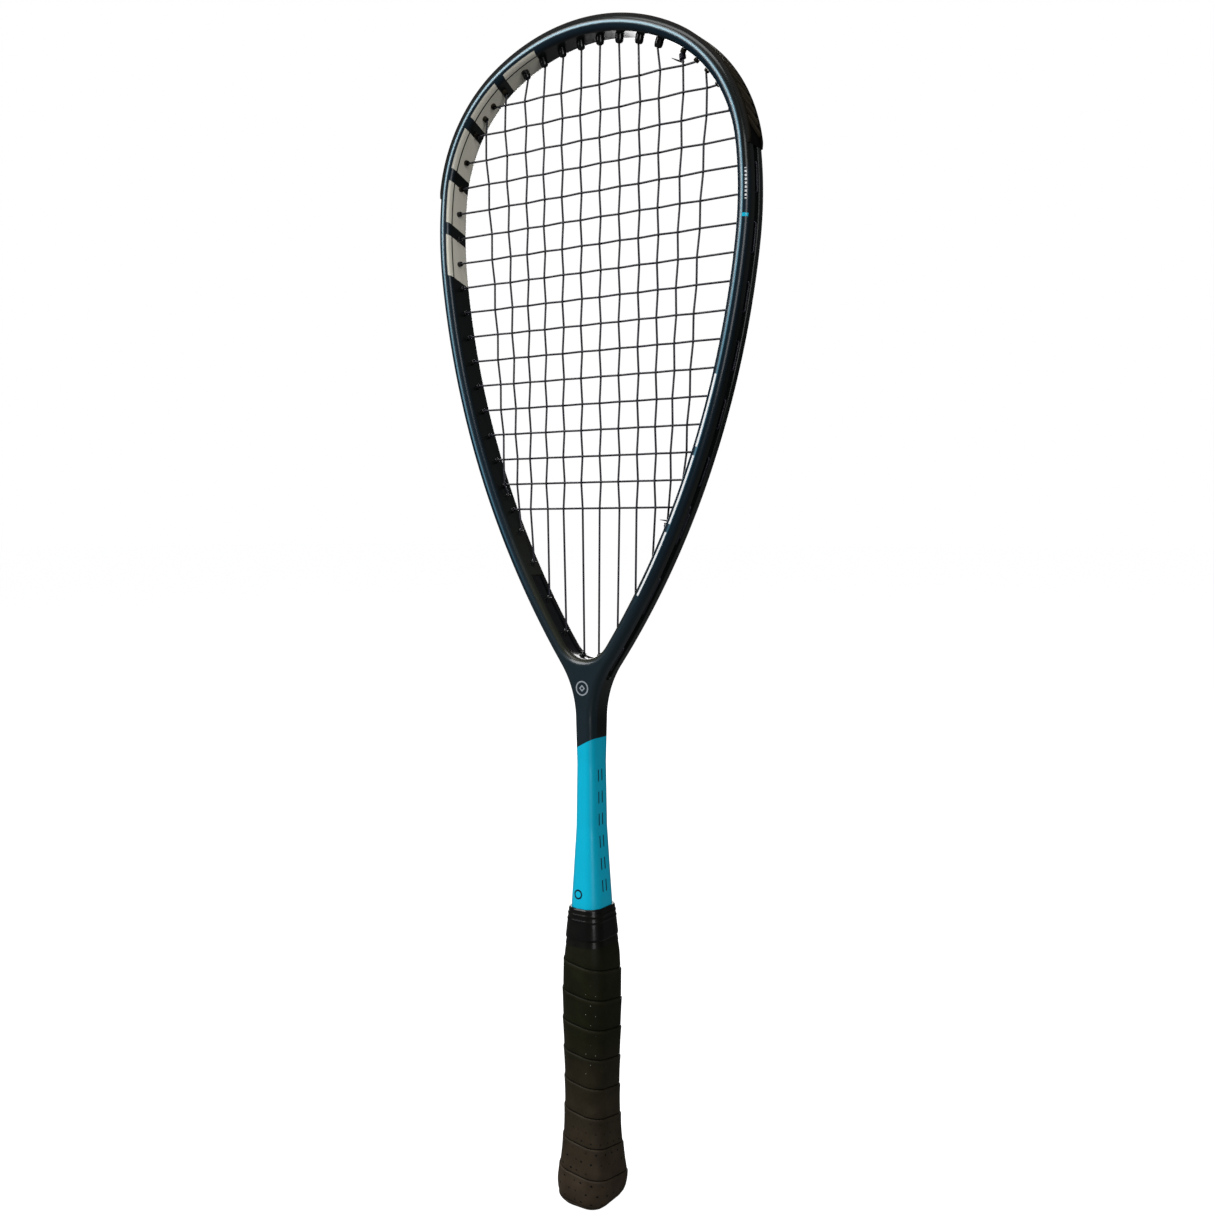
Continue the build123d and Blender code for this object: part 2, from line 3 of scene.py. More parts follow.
import bmesh
import bpy
import numpy as np
from mathutils import Matrix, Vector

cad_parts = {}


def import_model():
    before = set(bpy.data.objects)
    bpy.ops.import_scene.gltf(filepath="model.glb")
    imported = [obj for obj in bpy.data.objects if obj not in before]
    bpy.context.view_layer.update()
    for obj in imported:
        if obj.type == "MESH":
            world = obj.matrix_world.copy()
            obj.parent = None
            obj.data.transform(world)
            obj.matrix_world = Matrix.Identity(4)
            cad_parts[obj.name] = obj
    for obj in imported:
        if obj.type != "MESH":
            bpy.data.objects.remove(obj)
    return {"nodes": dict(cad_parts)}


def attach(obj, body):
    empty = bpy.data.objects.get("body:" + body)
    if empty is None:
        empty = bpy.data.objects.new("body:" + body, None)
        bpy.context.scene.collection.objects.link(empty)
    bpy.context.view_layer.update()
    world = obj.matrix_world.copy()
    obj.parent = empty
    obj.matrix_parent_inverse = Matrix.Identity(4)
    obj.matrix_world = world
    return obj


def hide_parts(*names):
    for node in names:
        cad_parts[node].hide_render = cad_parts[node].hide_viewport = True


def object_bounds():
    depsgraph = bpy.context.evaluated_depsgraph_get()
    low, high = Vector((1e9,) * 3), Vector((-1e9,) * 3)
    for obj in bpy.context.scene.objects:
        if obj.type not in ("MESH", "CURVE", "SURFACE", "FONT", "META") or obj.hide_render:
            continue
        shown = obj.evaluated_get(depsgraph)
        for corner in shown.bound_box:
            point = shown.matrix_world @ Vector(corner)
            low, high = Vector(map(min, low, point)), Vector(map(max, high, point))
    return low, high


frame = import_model()
cad_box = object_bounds()

# Squash racket. The shapes are worked out in millimetres, in the frame of the CAD model,
# and written to the meshes in metres.
MM = 0.001
WELD = 3e-6               # points nearer than this are one point
SHARP = math.radians(38)
QUARTER, TURN = math.pi / 2, 2 * math.pi

# ---- dimensions of the racket
LENGTH = cad_box[1].z / MM
BEAM_HALF = 10.0
NOSE = 3.9                # rounding of the head's front and back
WALL = 4.0                # from the head's centreline to its inner and outer walls
BUMPER_PROUD = 1.2
CROWN_Z = LENGTH - BUMPER_PROUD - WALL
HOOP_ARCS = [(118.0, 30.0), (84.0, 53.5), (220.0, 13.0)]
LEG_RADIUS, OUTER_LEG_TURN, INNER_LEG_TURN = 496.0, 28.7, 27.7
GROOVE_DEPTH, GROOVE_HALF, GROOVE_END_Z = 2.9, 2.5, 314.0
GROOVE_CHAMFER, GROOVE_LEAST = 0.35, 0.5    # least half width, where the groove has run out
RECESS_DEPTH, RECESS_HALF, RECESS_TOP_Z = 1.4, 5.85, 372.0
SHAFT = [(287.97, 12.2, 20.0, 3.9), (262.0, 12.2, 18.6, 4.6), (225.0, 13.6, 19.4, 5.2),
         (197.0, 17.4, 22.0, 6.6), (180.0, 19.8, 24.0, 7.6), (8.0, 19.8, 24.0, 7.6)]
TURN_ROWS = 60            # rows of the frame's mesh round the V of the throat
STEM_ROWS = 16            # rows from the V down to the shaft
SHAFT_ROW = 3.0           # height of a row on the shaft
V_ROW_Z = 304.0           # outer wall's height opposite the bottom of the V

# Strings and grommets
STRING_RADIUS = 0.6
MAIN_X = [6.5, 19.4, 32.2, 44.4, 56.6, 68.6]
MAIN_FAN = [0.1, 0.3, 0.7, 1.2, 3.6, 6.6]
MAIN_MIDDLE_Z = 525.0
CROSS_LOW_Z, CROSS_PITCH, CROSS_COUNT = 410.0, 15.13, 17
WEAVE, STAGGER = 0.68, 0.75
CROSSING_BEND, MOUTH_BEND, OUTSIDE_BEND = 4.0, 1.5, 1.0
STRIP_THICKNESS, STRIP_HALF, STRIP_CHAMFER, STRIP_SUNK = 1.0, 2.3, 0.2, 0.02
LOOP_CLEARANCE = 0.7
EDGE_CLEARANCE = 4.0      # a main nearer to the wall than this passes in front of a cross's barrel
TAIL_PART = 0.75          # of the way to the tie-off, where each end of the string stops
BARREL_RADIUS, BARREL_REACH = 1.6, 2.4
CROWN_RADIUS, CROWN_REACH = 2.4, 4.6
THROAT_REACH = 1.8
SMALL_MOUTH, CROWN_MOUTH, THROAT_MOUTH = (0.5, 0.9), (1.1, 2.4), (0.45, 0.6)   # rounding, dome
EYELET_RADIUS, OUTLET_RADIUS, EYELET_FOOT, EYELET_PROUD = 0.9, 1.35, 1.7, 0.25
CROWN_MAINS, THROAT_MAINS = 4, 3
CENTRE_SPLAY = math.radians(42.0)
OVER_BARREL = BARREL_RADIUS + STRING_RADIUS + 0.05 - STAGGER
BUMPER_END_Z = 600.0

# Knots: distances are from the barrel's mouth
KNOT_RADIUS, KNOT_PITCH, KNOT_TURNS, KNOT_START, KNOT_TAIL = 1.35, 1.1, 2.3, 0.9, 6.0
KNOT_TAIL_WAY = np.array([-1.0, -0.25, 0.35])
KNOT_BULB = [(0.3, 0.62), (0.2, 1.35), (0.7, 1.75), (1.3, 1.8), (1.8, 1.4), (2.0, 0.62)]

# Handle: (height, how much wider and deeper than the plain grip)
GRIP_WIDTH, GRIP_DEPTH, GRIP_CORNER = 27.0, 32.0, 9.5
GRIP = [(1.2, 0.6), (2.4, 2.6), (4.6, 4.7), (8.4, 6.4), (13.0, 7.0), (22.0, 5.0), (32.0, 2.6),
        (42.0, 0.9), (52.0, 0.0), (144.0, 0.0), (153.0, -1.1), (160.0, -2.9)]
COLLAR = [(159.5, -1.3), (168.0, -2.9), (178.0, -5.0)]
COLLAR_WALL, COLLAR_RIBS, RIB_PROUD, RIB_REACH = 0.6, (171.0, 174.2), 0.5, 0.8
TAPE_LOW, TAPE_TOP, TAPE_WALL = 156.0, 160.0, 0.2
WRAP_THICKNESS = 1.5
WRAP_END_Z, WRAP_FADE, BUTT_FADE = 153.0, 6.0, 3.0   # the turns flatten over these heights
WRAP_PITCH = 17.7         # height of one turn of the wound grip
SEAM_Z = 145.2            # height of one seam at the middle of the front


# ---- meshes
def linked(name, data):
    made = bpy.data.objects.new(name, data)
    bpy.context.scene.collection.objects.link(made)
    return made


class Shell:
    """Faces of one piece, in millimetres. Each point carries four more numbers, two for each
    of the mesh's maps, "run" and "rim", which the materials read."""

    def __init__(self):
        self.points, self.maps, self.faces, self.count = [], [], [], 0

    def add(self, points, faces, maps=None):
        points = np.asarray(points, float).reshape(-1, 3)
        self.points.append(points)
        self.maps.append(np.zeros((len(points), 4)) if maps is None else maps.reshape(-1, 4))
        self.faces += [[corner + self.count for corner in face] for face in faces]
        self.count += len(points)

    def grid(self, points, maps=None, ring=False, caps=False):
        """Quads through rows of points. ring joins each row's ends, caps closes both end rows."""
        rows, columns = points.shape[:2]
        index = np.arange(rows * columns).reshape(rows, columns)
        if ring:
            index = np.hstack([index, index[:, :1]])
        quads = [index[:-1, :-1], index[:-1, 1:], index[1:, 1:], index[1:, :-1]]
        faces = np.stack(quads, -1).reshape(-1, 4).tolist()
        if caps:
            faces += [index[0, :columns][::-1].tolist(), index[-1, :columns].tolist()]
        self.add(points, faces, maps)

    def mirror(self):
        """Adds the other side of the racket."""
        flip = np.array([-1.0, 1.0, 1.0])
        points, maps, faces = np.vstack(self.points), np.vstack(self.maps), list(self.faces)
        self.add(points * flip, [face[::-1] for face in faces], maps)

    def piece(self, name, material, slot, *nodes):
        """Makes the mesh's object, which stands for those nodes of the CAD model."""
        mesh = bpy.data.meshes.new(name)
        mesh.from_pydata((np.vstack(self.points) * MM).tolist(), [], self.faces)
        corners = np.zeros(len(mesh.loops), int)
        mesh.loops.foreach_get("vertex_index", corners)
        maps = np.vstack(self.maps)[corners]
        for layer, columns in (("run", maps[:, :2]), ("rim", maps[:, 2:])):
            mesh.uv_layers.new(name=layer).data.foreach_set("uv", columns.ravel())
        shape = bmesh.new()
        shape.from_mesh(mesh)
        bmesh.ops.remove_doubles(shape, verts=shape.verts, dist=WELD)
        bmesh.ops.dissolve_degenerate(shape, edges=shape.edges, dist=WELD)
        loose = [point for point in shape.verts if not point.link_faces]
        bmesh.ops.delete(shape, geom=loose, context="VERTS")
        bmesh.ops.recalc_face_normals(shape, faces=shape.faces)
        shape.to_mesh(mesh)
        shape.free()
        mesh.shade_smooth()
        mesh.set_sharp_from_angle(angle=SHARP)
        made = linked(name, mesh)
        mesh.materials.append(material)
        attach(made, "root")
        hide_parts(*nodes)
        return made


def unit(vectors):
    return vectors / np.linalg.norm(vectors, axis=-1, keepdims=True)


def tube(shell, path, radius, sides=12):
    """Round tube along points that are close together, closed at both ends."""
    along = unit(np.gradient(path, axis=0))
    across = unit(np.cross(along[0], (0.31, 0.9, 0.31)))
    rings = []
    radii = np.broadcast_to(radius, len(path))
    angles = TURN * np.arange(sides) / sides
    for point, way, size in zip(path, along, radii):
        across = unit(across - way * across.dot(way))
        third = np.cross(way, across)
        rings.append(point + size * (np.outer(np.cos(angles), across) + np.outer(np.sin(angles), third)))
    run = np.append(0, np.cumsum(np.linalg.norm(np.diff(path, axis=0), axis=1)))
    maps = np.zeros((len(path), sides, 4))
    maps[..., 0], maps[..., 1] = run[:, None], angles / TURN
    shell.grid(np.array(rings), maps, ring=True, caps=True)


def lathe(shell, origin, axis, profile, sides=20):
    """Closed ring about an axis. The profile is (distance along the axis, radius), all round."""
    first = unit(np.cross(axis, (0.0, 1.0, 0.02)))
    second = np.cross(axis, first)
    angles = TURN * np.arange(sides) / sides
    spokes = np.outer(np.cos(angles), first) + np.outer(np.sin(angles), second)
    rings = [origin + axis * at + spokes * radius for at, radius in profile + profile[:1]]
    maps = np.zeros((len(rings), sides, 4))
    maps[..., 0] = np.array([at for at, radius in profile + profile[:1]])[:, None]
    shell.grid(np.array(rings), maps, ring=True)


# ---- curves of the head
def arc(point, heading, radius, turn, count):
    """Points and headings along an arc that turns clockwise by turn degrees."""
    side = math.copysign(1, turn)
    angles = heading - np.radians(turn) * np.linspace(0, 1, count + 1)
    right = side * np.stack([np.sin(angles), -np.cos(angles)], 1)
    centre = np.asarray(point) + radius * right[0]
    return centre - radius * right, angles


def head_side(offset, leg_turn, step=1.0):
    """One side of the head at an offset from its centreline: arc length, point, heading."""
    point, heading, run = (0.0, CROWN_Z + offset), 0.0, 0.0
    runs, points, headings = [], [], []
    for radius, turn in HOOP_ARCS + [(LEG_RADIUS, leg_turn)]:
        count = math.ceil(radius * math.radians(turn) / step)
        some, angles = arc(point, heading, radius + offset, turn, count)
        runs.append(run + radius * (heading - angles[:-1]))
        points.append(some[:-1])
        headings.append(angles[:-1])
        run += radius * math.radians(turn)
        point, heading = some[-1], angles[-1]
    return (np.append(np.concatenate(runs), run), np.vstack(points + [point]),
            np.append(np.concatenate(headings), heading))


def lengths_along(points):
    return np.append(0, np.cumsum(np.linalg.norm(np.diff(points, axis=0), axis=1)))


def resample(points, fractions):
    """Points at fractions of a polyline's length."""
    lengths = lengths_along(points)
    at = np.asarray(fractions) * lengths[-1]
    return np.stack([np.interp(at, lengths, points[:, k]) for k in (0, 1)], 1)


def normals_of(points):
    """Outward normals of a polyline that runs down the right side."""
    along = np.gradient(points, axis=0)
    return unit(np.stack([-along[:, 1], along[:, 0]], 1))


RUN, INNER_LEG, HEADING = head_side(-WALL, INNER_LEG_TURN)
OUTER_LEG = head_side(WALL, INNER_LEG_TURN)[1]
LEAN = -HEADING[-1] - math.pi / 2
V_RADIUS = INNER_LEG[-1][0] / math.cos(LEAN)
V_ARC = arc(INNER_LEG[-1], HEADING[-1], V_RADIUS, 90 - math.degrees(LEAN), TURN_ROWS)[0]
V_Z = V_ARC[-1][1]


def outer_throat():
    """Outer wall from the legs to the shaft, and each row's fraction of its length."""
    end, heading = head_side(WALL, OUTER_LEG_TURN)[1][-1], head_side(WALL, OUTER_LEG_TURN)[2][-1]
    lean = -heading - math.pi / 2
    radius = (end[0] - SHAFT[0][1] / 2) / (1 - math.cos(lean))
    curve = np.vstack([OUTER_LEG[-1], arc(end, heading, radius, -math.degrees(lean), 200)[0]])
    lengths = lengths_along(curve)
    v_row = np.interp(-V_ROW_Z, -curve[:, 1], lengths) / lengths[-1]
    fractions = np.append(np.linspace(0, v_row, TURN_ROWS + 1)[1:],
                          np.linspace(v_row, 1, STEM_ROWS + 1)[1:])
    points = resample(curve, fractions)
    points[-1] = (SHAFT[0][1] / 2, SHAFT[0][0])
    return points, RUN[-1] + fractions * lengths[-1]


OUTER_THROAT, THROAT_RUN = outer_throat()

# each wall down the right side: arc length, point, outward normal
INNER_RUN = np.append(RUN, THROAT_RUN[:TURN_ROWS])
INNER_WALL = np.vstack([INNER_LEG, V_ARC[1:]])
INNER_NORMAL = normals_of(INNER_WALL)
INNER_NORMAL[0], INNER_NORMAL[-1] = (0, 1), (0, -1)
OUTER_RUN = np.append(RUN, THROAT_RUN)
OUTER_WALL = np.vstack([OUTER_LEG, OUTER_THROAT])
OUTER_NORMAL = normals_of(OUTER_WALL)
OUTER_NORMAL[0], OUTER_NORMAL[-1] = (0, 1), (1, 0)
FLOOR_WALL = OUTER_WALL - OUTER_NORMAL * GROOVE_DEPTH


def raised(points, y):
    """Points (x, z) of the head's plane at a depth y, as (x, y, z)."""
    points = np.asarray(points, float)
    y = np.broadcast_to(y, points.shape[:-1])
    return np.stack([points[..., 0], y, points[..., 1]], -1)


# ---- frame
ROUND = (1 - np.cos(np.linspace(0, QUARTER, 10)))      # a quarter's depths, for a radius of 1
MIDDLE = np.array([0.25, 0.5, 0.75])
FROM_MIDDLE = np.append(0, MIDDLE)
HEAD_ROWS = len(INNER_WALL)


def depth_at(inset, corner, half):
    """How far forward the rounded surface is, at an inset from its wall."""
    return half - corner + np.sqrt(np.maximum(0, corner ** 2 - (corner - np.minimum(inset, corner)) ** 2))


def groove_columns(z):
    """Places and depths of the outer wall's six columns across the stringing groove."""
    half, deep = math.sqrt(max(0, GROOVE_HALF ** 2 - max(0, GROOVE_END_Z - z) ** 2)), GROOVE_DEPTH
    if half < GROOVE_LEAST:
        half, deep = GROOVE_LEAST, 0.0
    edge = min(GROOVE_CHAMFER, deep)
    ys = [-half - GROOVE_CHAMFER, -half, -half, half, half, half + GROOVE_CHAMFER]
    return ys, [0, edge, deep, deep, edge, 0]


def outer_side(outer, normal, corner, half):
    """Front quarter, wall and back quarter of the outer side, and each point's inset."""
    insets = ROUND[::-1] * corner
    front = raised(outer - np.outer(insets, normal), -depth_at(insets, corner, half))
    ys, sinks = groove_columns(outer[1])
    wall = raised(outer - np.outer(sinks, normal), ys)
    return both_faces(front, wall), np.concatenate([insets, sinks, insets[::-1]])


def both_faces(front, side):
    """A row of points on the front, those between the faces, and the row's copy on the back."""
    return np.vstack([front, side, front[::-1] * (1, -1, 1)])


def map_row(run, inner_gap, outer_gap):
    """The paint's coordinates: arc length, and distances from the inner and outer walls."""
    row = np.zeros((len(outer_gap), 4))
    row[:, 0], row[:, 1], row[:, 2] = run, inner_gap, outer_gap
    return row


def head_rows():
    for inner, inner_normal, outer, outer_normal, run in zip(
            INNER_WALL, INNER_NORMAL, OUTER_WALL, OUTER_NORMAL, INNER_RUN):
        width = np.linalg.norm(outer - inner)
        insets = ROUND * NOSE
        first = inner + np.outer(insets, inner_normal)
        middle = first[-1] + np.outer(MIDDLE, outer - outer_normal * NOSE - first[-1])
        front = raised(np.vstack([first, middle]),
                       -np.append(depth_at(insets, NOSE, BEAM_HALF), [BEAM_HALF] * len(MIDDLE)))
        front_in = np.append(insets, NOSE + MIDDLE * (width - 2 * NOSE))
        side, side_out = outer_side(outer, outer_normal, NOSE, BEAM_HALF)
        sink = RECESS_DEPTH if inner[1] < RECESS_TOP_Z else 0.0
        sinks = np.array([0, sink, sink, 0])
        inside = raised(inner + np.outer(sinks, inner_normal), np.array([1, 1, -1, -1]) * RECESS_HALF)
        inner_gap = np.concatenate([front_in, width - side_out, front_in[::-1], sinks])
        yield np.vstack([both_faces(front, side), inside]), map_row(run, inner_gap, width - inner_gap)


def stem_rows():
    """Rows between the V and the shaft, from the racket's middle outwards."""
    for k in range(STEM_ROWS + 1):
        i = HEAD_ROWS - 1 + k
        start = np.array([0, V_Z - NOSE + (SHAFT[0][0] - V_Z + NOSE) * k / STEM_ROWS])
        middle = start + np.outer(FROM_MIDDLE, OUTER_WALL[i] - OUTER_NORMAL[i] * NOSE - start)
        side, side_out = outer_side(OUTER_WALL[i], OUTER_NORMAL[i], NOSE, BEAM_HALF)
        points = both_faces(raised(middle, -BEAM_HALF), side)
        reach = np.linalg.norm(points[:, [0, 2]] - start, axis=1)
        rim = [NOSE] * len(FROM_MIDDLE)
        yield points, map_row(OUTER_RUN[i], V_Z - start[1] + reach, np.concatenate([rim, side_out, rim]))


def shaft_rows():
    """Rows of the shaft and of the tube in the handle, downwards."""
    table = np.array(SHAFT)
    heights = [np.linspace(a, b, math.ceil((a - b) / SHAFT_ROW) + 1)[:-1]
               for a, b in zip(table[:-1, 0], table[1:, 0])]
    for z in np.append(np.concatenate(heights), table[-1, 0]):
        width, depth, corner = (np.interp(-z, -table[:, 0], table[:, k]) for k in (1, 2, 3))
        middle = np.array([[(width / 2 - corner) * part, z] for part in FROM_MIDDLE])
        side, side_out = outer_side(np.array([width / 2, z]), np.array([1.0, 0.0]), corner, depth / 2)
        rim = [corner] * len(FROM_MIDDLE)
        yield (both_faces(raised(middle, -depth / 2), side),
               map_row(OUTER_RUN[-1] + SHAFT[0][0] - z, V_Z - z, np.concatenate([rim, side_out, rim])))


def frame_shell():
    shell = Shell()
    for made, ring in ((head_rows(), True), (stem_rows(), False), (shaft_rows(), False)):
        points, maps = zip(*made)
        shell.grid(np.array(points), np.array(maps), ring=ring)
    shell.add(points[-1], [list(range(len(points[-1])))])      # end of the tube
    shell.mirror()
    return shell


# ---- where the strings pass
def changes(values):
    """Fractional places along an array at which its sign changes."""
    before = np.nonzero(np.sign(values[:-1]) * np.sign(values[1:]) < 0)[0]
    return before + values[before] / (values[before] - values[before + 1])


def at(array, place):
    low = int(place)
    return array[low] + (array[min(low + 1, len(array) - 1)] - array[low]) * (place - low)


class Passage:
    """Where a string goes through the head's wall, on one side."""

    def __init__(self, side, place, leave_y, reach=BARREL_REACH, turn_to=lambda normal: normal):
        inner = at(INNER_WALL, place)
        out = unit(turn_to(unit(at(INNER_NORMAL, place))))
        offsets = FLOOR_WALL - inner
        places = changes(offsets[:, 0] * out[1] - offsets[:, 1] * out[0])
        nearest = min(places, key=lambda p: np.linalg.norm(at(FLOOR_WALL, p) - inner))
        outer, normal = at(FLOOR_WALL, nearest), at(OUTER_NORMAL, nearest)
        self.inner = np.array([side * inner[0], 0, inner[1]])
        self.outer = np.array([side * outer[0], leave_y, outer[1]])
        self.normal = unit(np.array([side * normal[0], 0, normal[1]]))
        self.along = unit(self.outer - self.inner)
        self.mouth = self.inner - self.along * reach
        self.length = np.linalg.norm(self.outer - self.inner) + reach

    def over_strip(self):
        height = STRIP_THICKNESS + LOOP_CLEARANCE + STRING_RADIUS
        return self.outer + self.along * (height / self.along.dot(self.normal))


def main_x(index, z):
    return MAIN_X[index] + MAIN_FAN[index] * (z - MAIN_MIDDLE_Z) / 100


def main_places(index):
    return changes(INNER_WALL[:, 0] - main_x(index, INNER_WALL[:, 1]))


def foot_turn(index):
    if index:
        return lambda normal: normal + (0, -1)
    return lambda normal: np.array([math.sin(CENTRE_SPLAY), -math.cos(CENTRE_SPLAY)])


SIDES = (-1, 1)
MAINS = [(-1, i) for i in reversed(range(len(MAIN_X)))] + [(1, i) for i in range(len(MAIN_X))]
crown_ends = {(s, i): Passage(s, main_places(i)[0], -STAGGER,
                              CROWN_REACH if i < CROWN_MAINS else BARREL_REACH) for s, i in MAINS}
foot_ends = {(s, i): Passage(s, main_places(i)[-1], -STAGGER,
                             THROAT_REACH if i < THROAT_MAINS else BARREL_REACH, foot_turn(i))
             for s, i in MAINS}
cross_ends = {(s, row): Passage(s, changes(INNER_WALL[:, 1] - CROSS_LOW_Z - CROSS_PITCH * row)[0], STAGGER)
              for s in SIDES for row in range(CROSS_COUNT)}


def crossing(main, row):
    side, index = main
    z = cross_ends[side, row].mouth[2]
    if foot_ends[main].inner[2] < z < crown_ends[main].inner[2]:
        return np.array([side * main_x(index, z), 0, z])
    return None


def beside_barrel(main, row):
    return cross_ends[1, row].inner[0] - abs(crossing(main, row)[0]) < EDGE_CLEARANCE


def lean(main, row):
    return WEAVE if (MAINS.index(main) + row) % 2 else -WEAVE


def main_points(main):
    """Route of one main through the bed, from its foot to the crown."""
    points = [foot_ends[main].mouth]
    for row in range(CROSS_COUNT):
        if crossing(main, row) is not None:
            y = -OVER_BARREL if beside_barrel(main, row) else lean(main, row)
            points.append(crossing(main, row) + (0, y, 0))
    return points + [crown_ends[main].mouth]


def cross_points(row):
    """Route of one cross through the bed, towards +X."""
    points = [cross_ends[-1, row].mouth]
    for main in MAINS:
        if crossing(main, row) is not None and not beside_barrel(main, row):
            points.append(crossing(main, row) - (0, lean(main, row), 0))
    return points + [cross_ends[1, row].mouth]


def string_runs():
    """The string from one outside corner to the next, in the order that it is strung."""
    runs = []
    for count, main in enumerate(reversed(MAINS)):
        run = [foot_ends[main].over_strip()] + main_points(main) + [crown_ends[main].over_strip()]
        runs.append(run if count % 2 else run[::-1])
    for count, row in enumerate(reversed(range(CROSS_COUNT))):
        run = [cross_ends[-1, row].over_strip()] + cross_points(row) + [cross_ends[1, row].over_strip()]
        runs.append(run[::-1] if count % 2 else run)
    return runs


def rounded(points, radii, least=3):
    """Points of a route with its inner corners rounded to the radii."""
    made = [points[0]]
    for before, corner, after, radius in zip(points, points[1:], points[2:], radii):
        back, on = unit(before - corner), unit(after - corner)
        turn = math.pi - math.acos(np.clip(back.dot(on), -1, 1))
        if turn < 0.003:
            made.append(corner)
            continue
        reach = min(radius * math.tan(turn / 2), 0.48 * np.linalg.norm(before - corner),
                    0.48 * np.linalg.norm(after - corner))
        size = reach / math.tan(turn / 2)
        bisector = unit(back + on)
        centre = corner + bisector * math.hypot(size, reach)
        start, end = corner + back * reach - centre, corner + on * reach - centre
        count = max(least, math.ceil(turn / 0.25))
        for part in np.linspace(0, 1, count + 1):
            a, b = math.sin((1 - part) * turn), math.sin(part * turn)
            made.append(centre + (start * a + end * b) / math.sin(turn))
    return np.array(made + [points[-1]])


tie_off_main = MAINS[-2]


def string_shell():
    runs = string_runs()

    def towards(start, end):
        point = start + (end - start) * TAIL_PART
        return np.array([point[0], start[1], point[2]])

    halves = [(before[-1] + after[0]) / 2 for before, after in zip(runs, runs[1:])]
    starts = [towards(runs[0][0], crown_ends[tie_off_main].over_strip())] + halves
    ends = halves + [towards(runs[-1][-1], foot_ends[tie_off_main].over_strip())]
    path = []
    for start, run, end in zip(starts, runs, ends):
        turns = [OUTSIDE_BEND, MOUTH_BEND]
        bends = turns + [CROSSING_BEND] * (len(run) - 4) + turns[::-1]
        path.append(rounded([start, *run, end], bends)[:-1])
    path = np.vstack(path + [ends[-1]])
    keep = np.append(True, np.linalg.norm(np.diff(path, axis=0), axis=1) > 0.01)
    shell = Shell()
    tube(shell, path[keep], STRING_RADIUS)
    return shell


def knot_shell():
    shell = Shell()
    points = main_points(tie_off_main)
    for mouth, bed in ((points[0], points[1]), (points[-1], points[-2])):
        way = unit(bed - mouth)
        first = unit(np.cross(way, (0, 0, 1.0)) + (0, -0.4, 0))
        first = unit(first - way * first.dot(way))
        second = np.cross(way, first)
        angles = np.linspace(0, TURN * KNOT_TURNS, 44)
        rise = KNOT_START + KNOT_PITCH * angles / TURN
        coil = (mouth + np.outer(rise, way)
                + KNOT_RADIUS * (np.outer(np.cos(angles), first) + np.outer(np.sin(angles), second)))
        leave = unit(coil[-1] - coil[-2])
        parts = np.linspace(0.08, 1, 10)[:, None]
        tail = coil[-1] + KNOT_TAIL * parts * unit(leave * (1 - parts) + KNOT_TAIL_WAY * parts)
        radii = np.append(np.full(len(coil), STRING_RADIUS * 0.95),
                          STRING_RADIUS * (1.5 - 1.25 * parts[:, 0]))
        tube(shell, np.vstack([coil, tail]), radii)
        lathe(shell, mouth, way, KNOT_BULB)
    return shell


# ---- grommets
def barrel(shell, passage, radius=BARREL_RADIUS, mouth=SMALL_MOUTH):
    """One barrel with its rounded mouth, and a raised eyelet on the strip outside."""
    rounding, dome = mouth
    turns = np.linspace(0, QUARTER, 9)
    lip = [(dome * (1 - math.sin(a)), radius - rounding * (1 - math.cos(a))) for a in turns[::-1]]
    inside = [(passage.length, EYELET_RADIUS), (0.3, EYELET_RADIUS),
              (0.0, EYELET_RADIUS + 0.25 * (radius - EYELET_RADIUS))]
    lathe(shell, passage.mouth, passage.along, inside + lip + [(passage.length, radius)], 24)
    low, high = STRIP_THICKNESS - 0.1, STRIP_THICKNESS + EYELET_PROUD
    lathe(shell, passage.outer, passage.normal, [(low, EYELET_RADIUS), (high, EYELET_RADIUS + 0.12),
                                                 (high, OUTLET_RADIUS), (low, EYELET_FOOT)])


def strip(shell, i_start, i_end, round_end=False):
    """Flat strip on the groove's floor between two rows of the outer wall, on the right side."""
    rows = []
    for i in range(i_start, i_end):
        z, half = OUTER_WALL[i][1], STRIP_HALF
        if round_end and z < GROOVE_END_Z:
            half = math.sqrt(max(0.05, STRIP_HALF ** 2 - (GROOVE_END_Z - z) ** 2))
        if z < GROOVE_END_Z - STRIP_HALF:
            break
        edge, shoulder = half - STRIP_CHAMFER, STRIP_THICKNESS - STRIP_CHAMFER
        ys = np.array([-half, -half, -edge, edge, half, half])
        ns = np.array([-STRIP_SUNK, shoulder, STRIP_THICKNESS, STRIP_THICKNESS, shoulder, -STRIP_SUNK])
        rows.append(raised(FLOOR_WALL[i] + np.outer(ns, OUTER_NORMAL[i]), ys))
    shell.grid(np.array(rows), ring=True, caps=True)


BUMPER_LAST = int(changes(OUTER_WALL[:, 1] - BUMPER_END_Z)[0])


def strip_shell(side):
    shell = Shell()
    strip(shell, BUMPER_LAST + 2, len(OUTER_WALL), round_end=True)
    shell.points = [points * (side, 1, 1) for points in shell.points]
    for index in range(THROAT_MAINS, len(MAIN_X)):
        barrel(shell, foot_ends[side, index])
    for row in range(CROSS_COUNT):
        if cross_ends[side, row].outer[2] < BUMPER_END_Z:
            barrel(shell, cross_ends[side, row])
    return shell


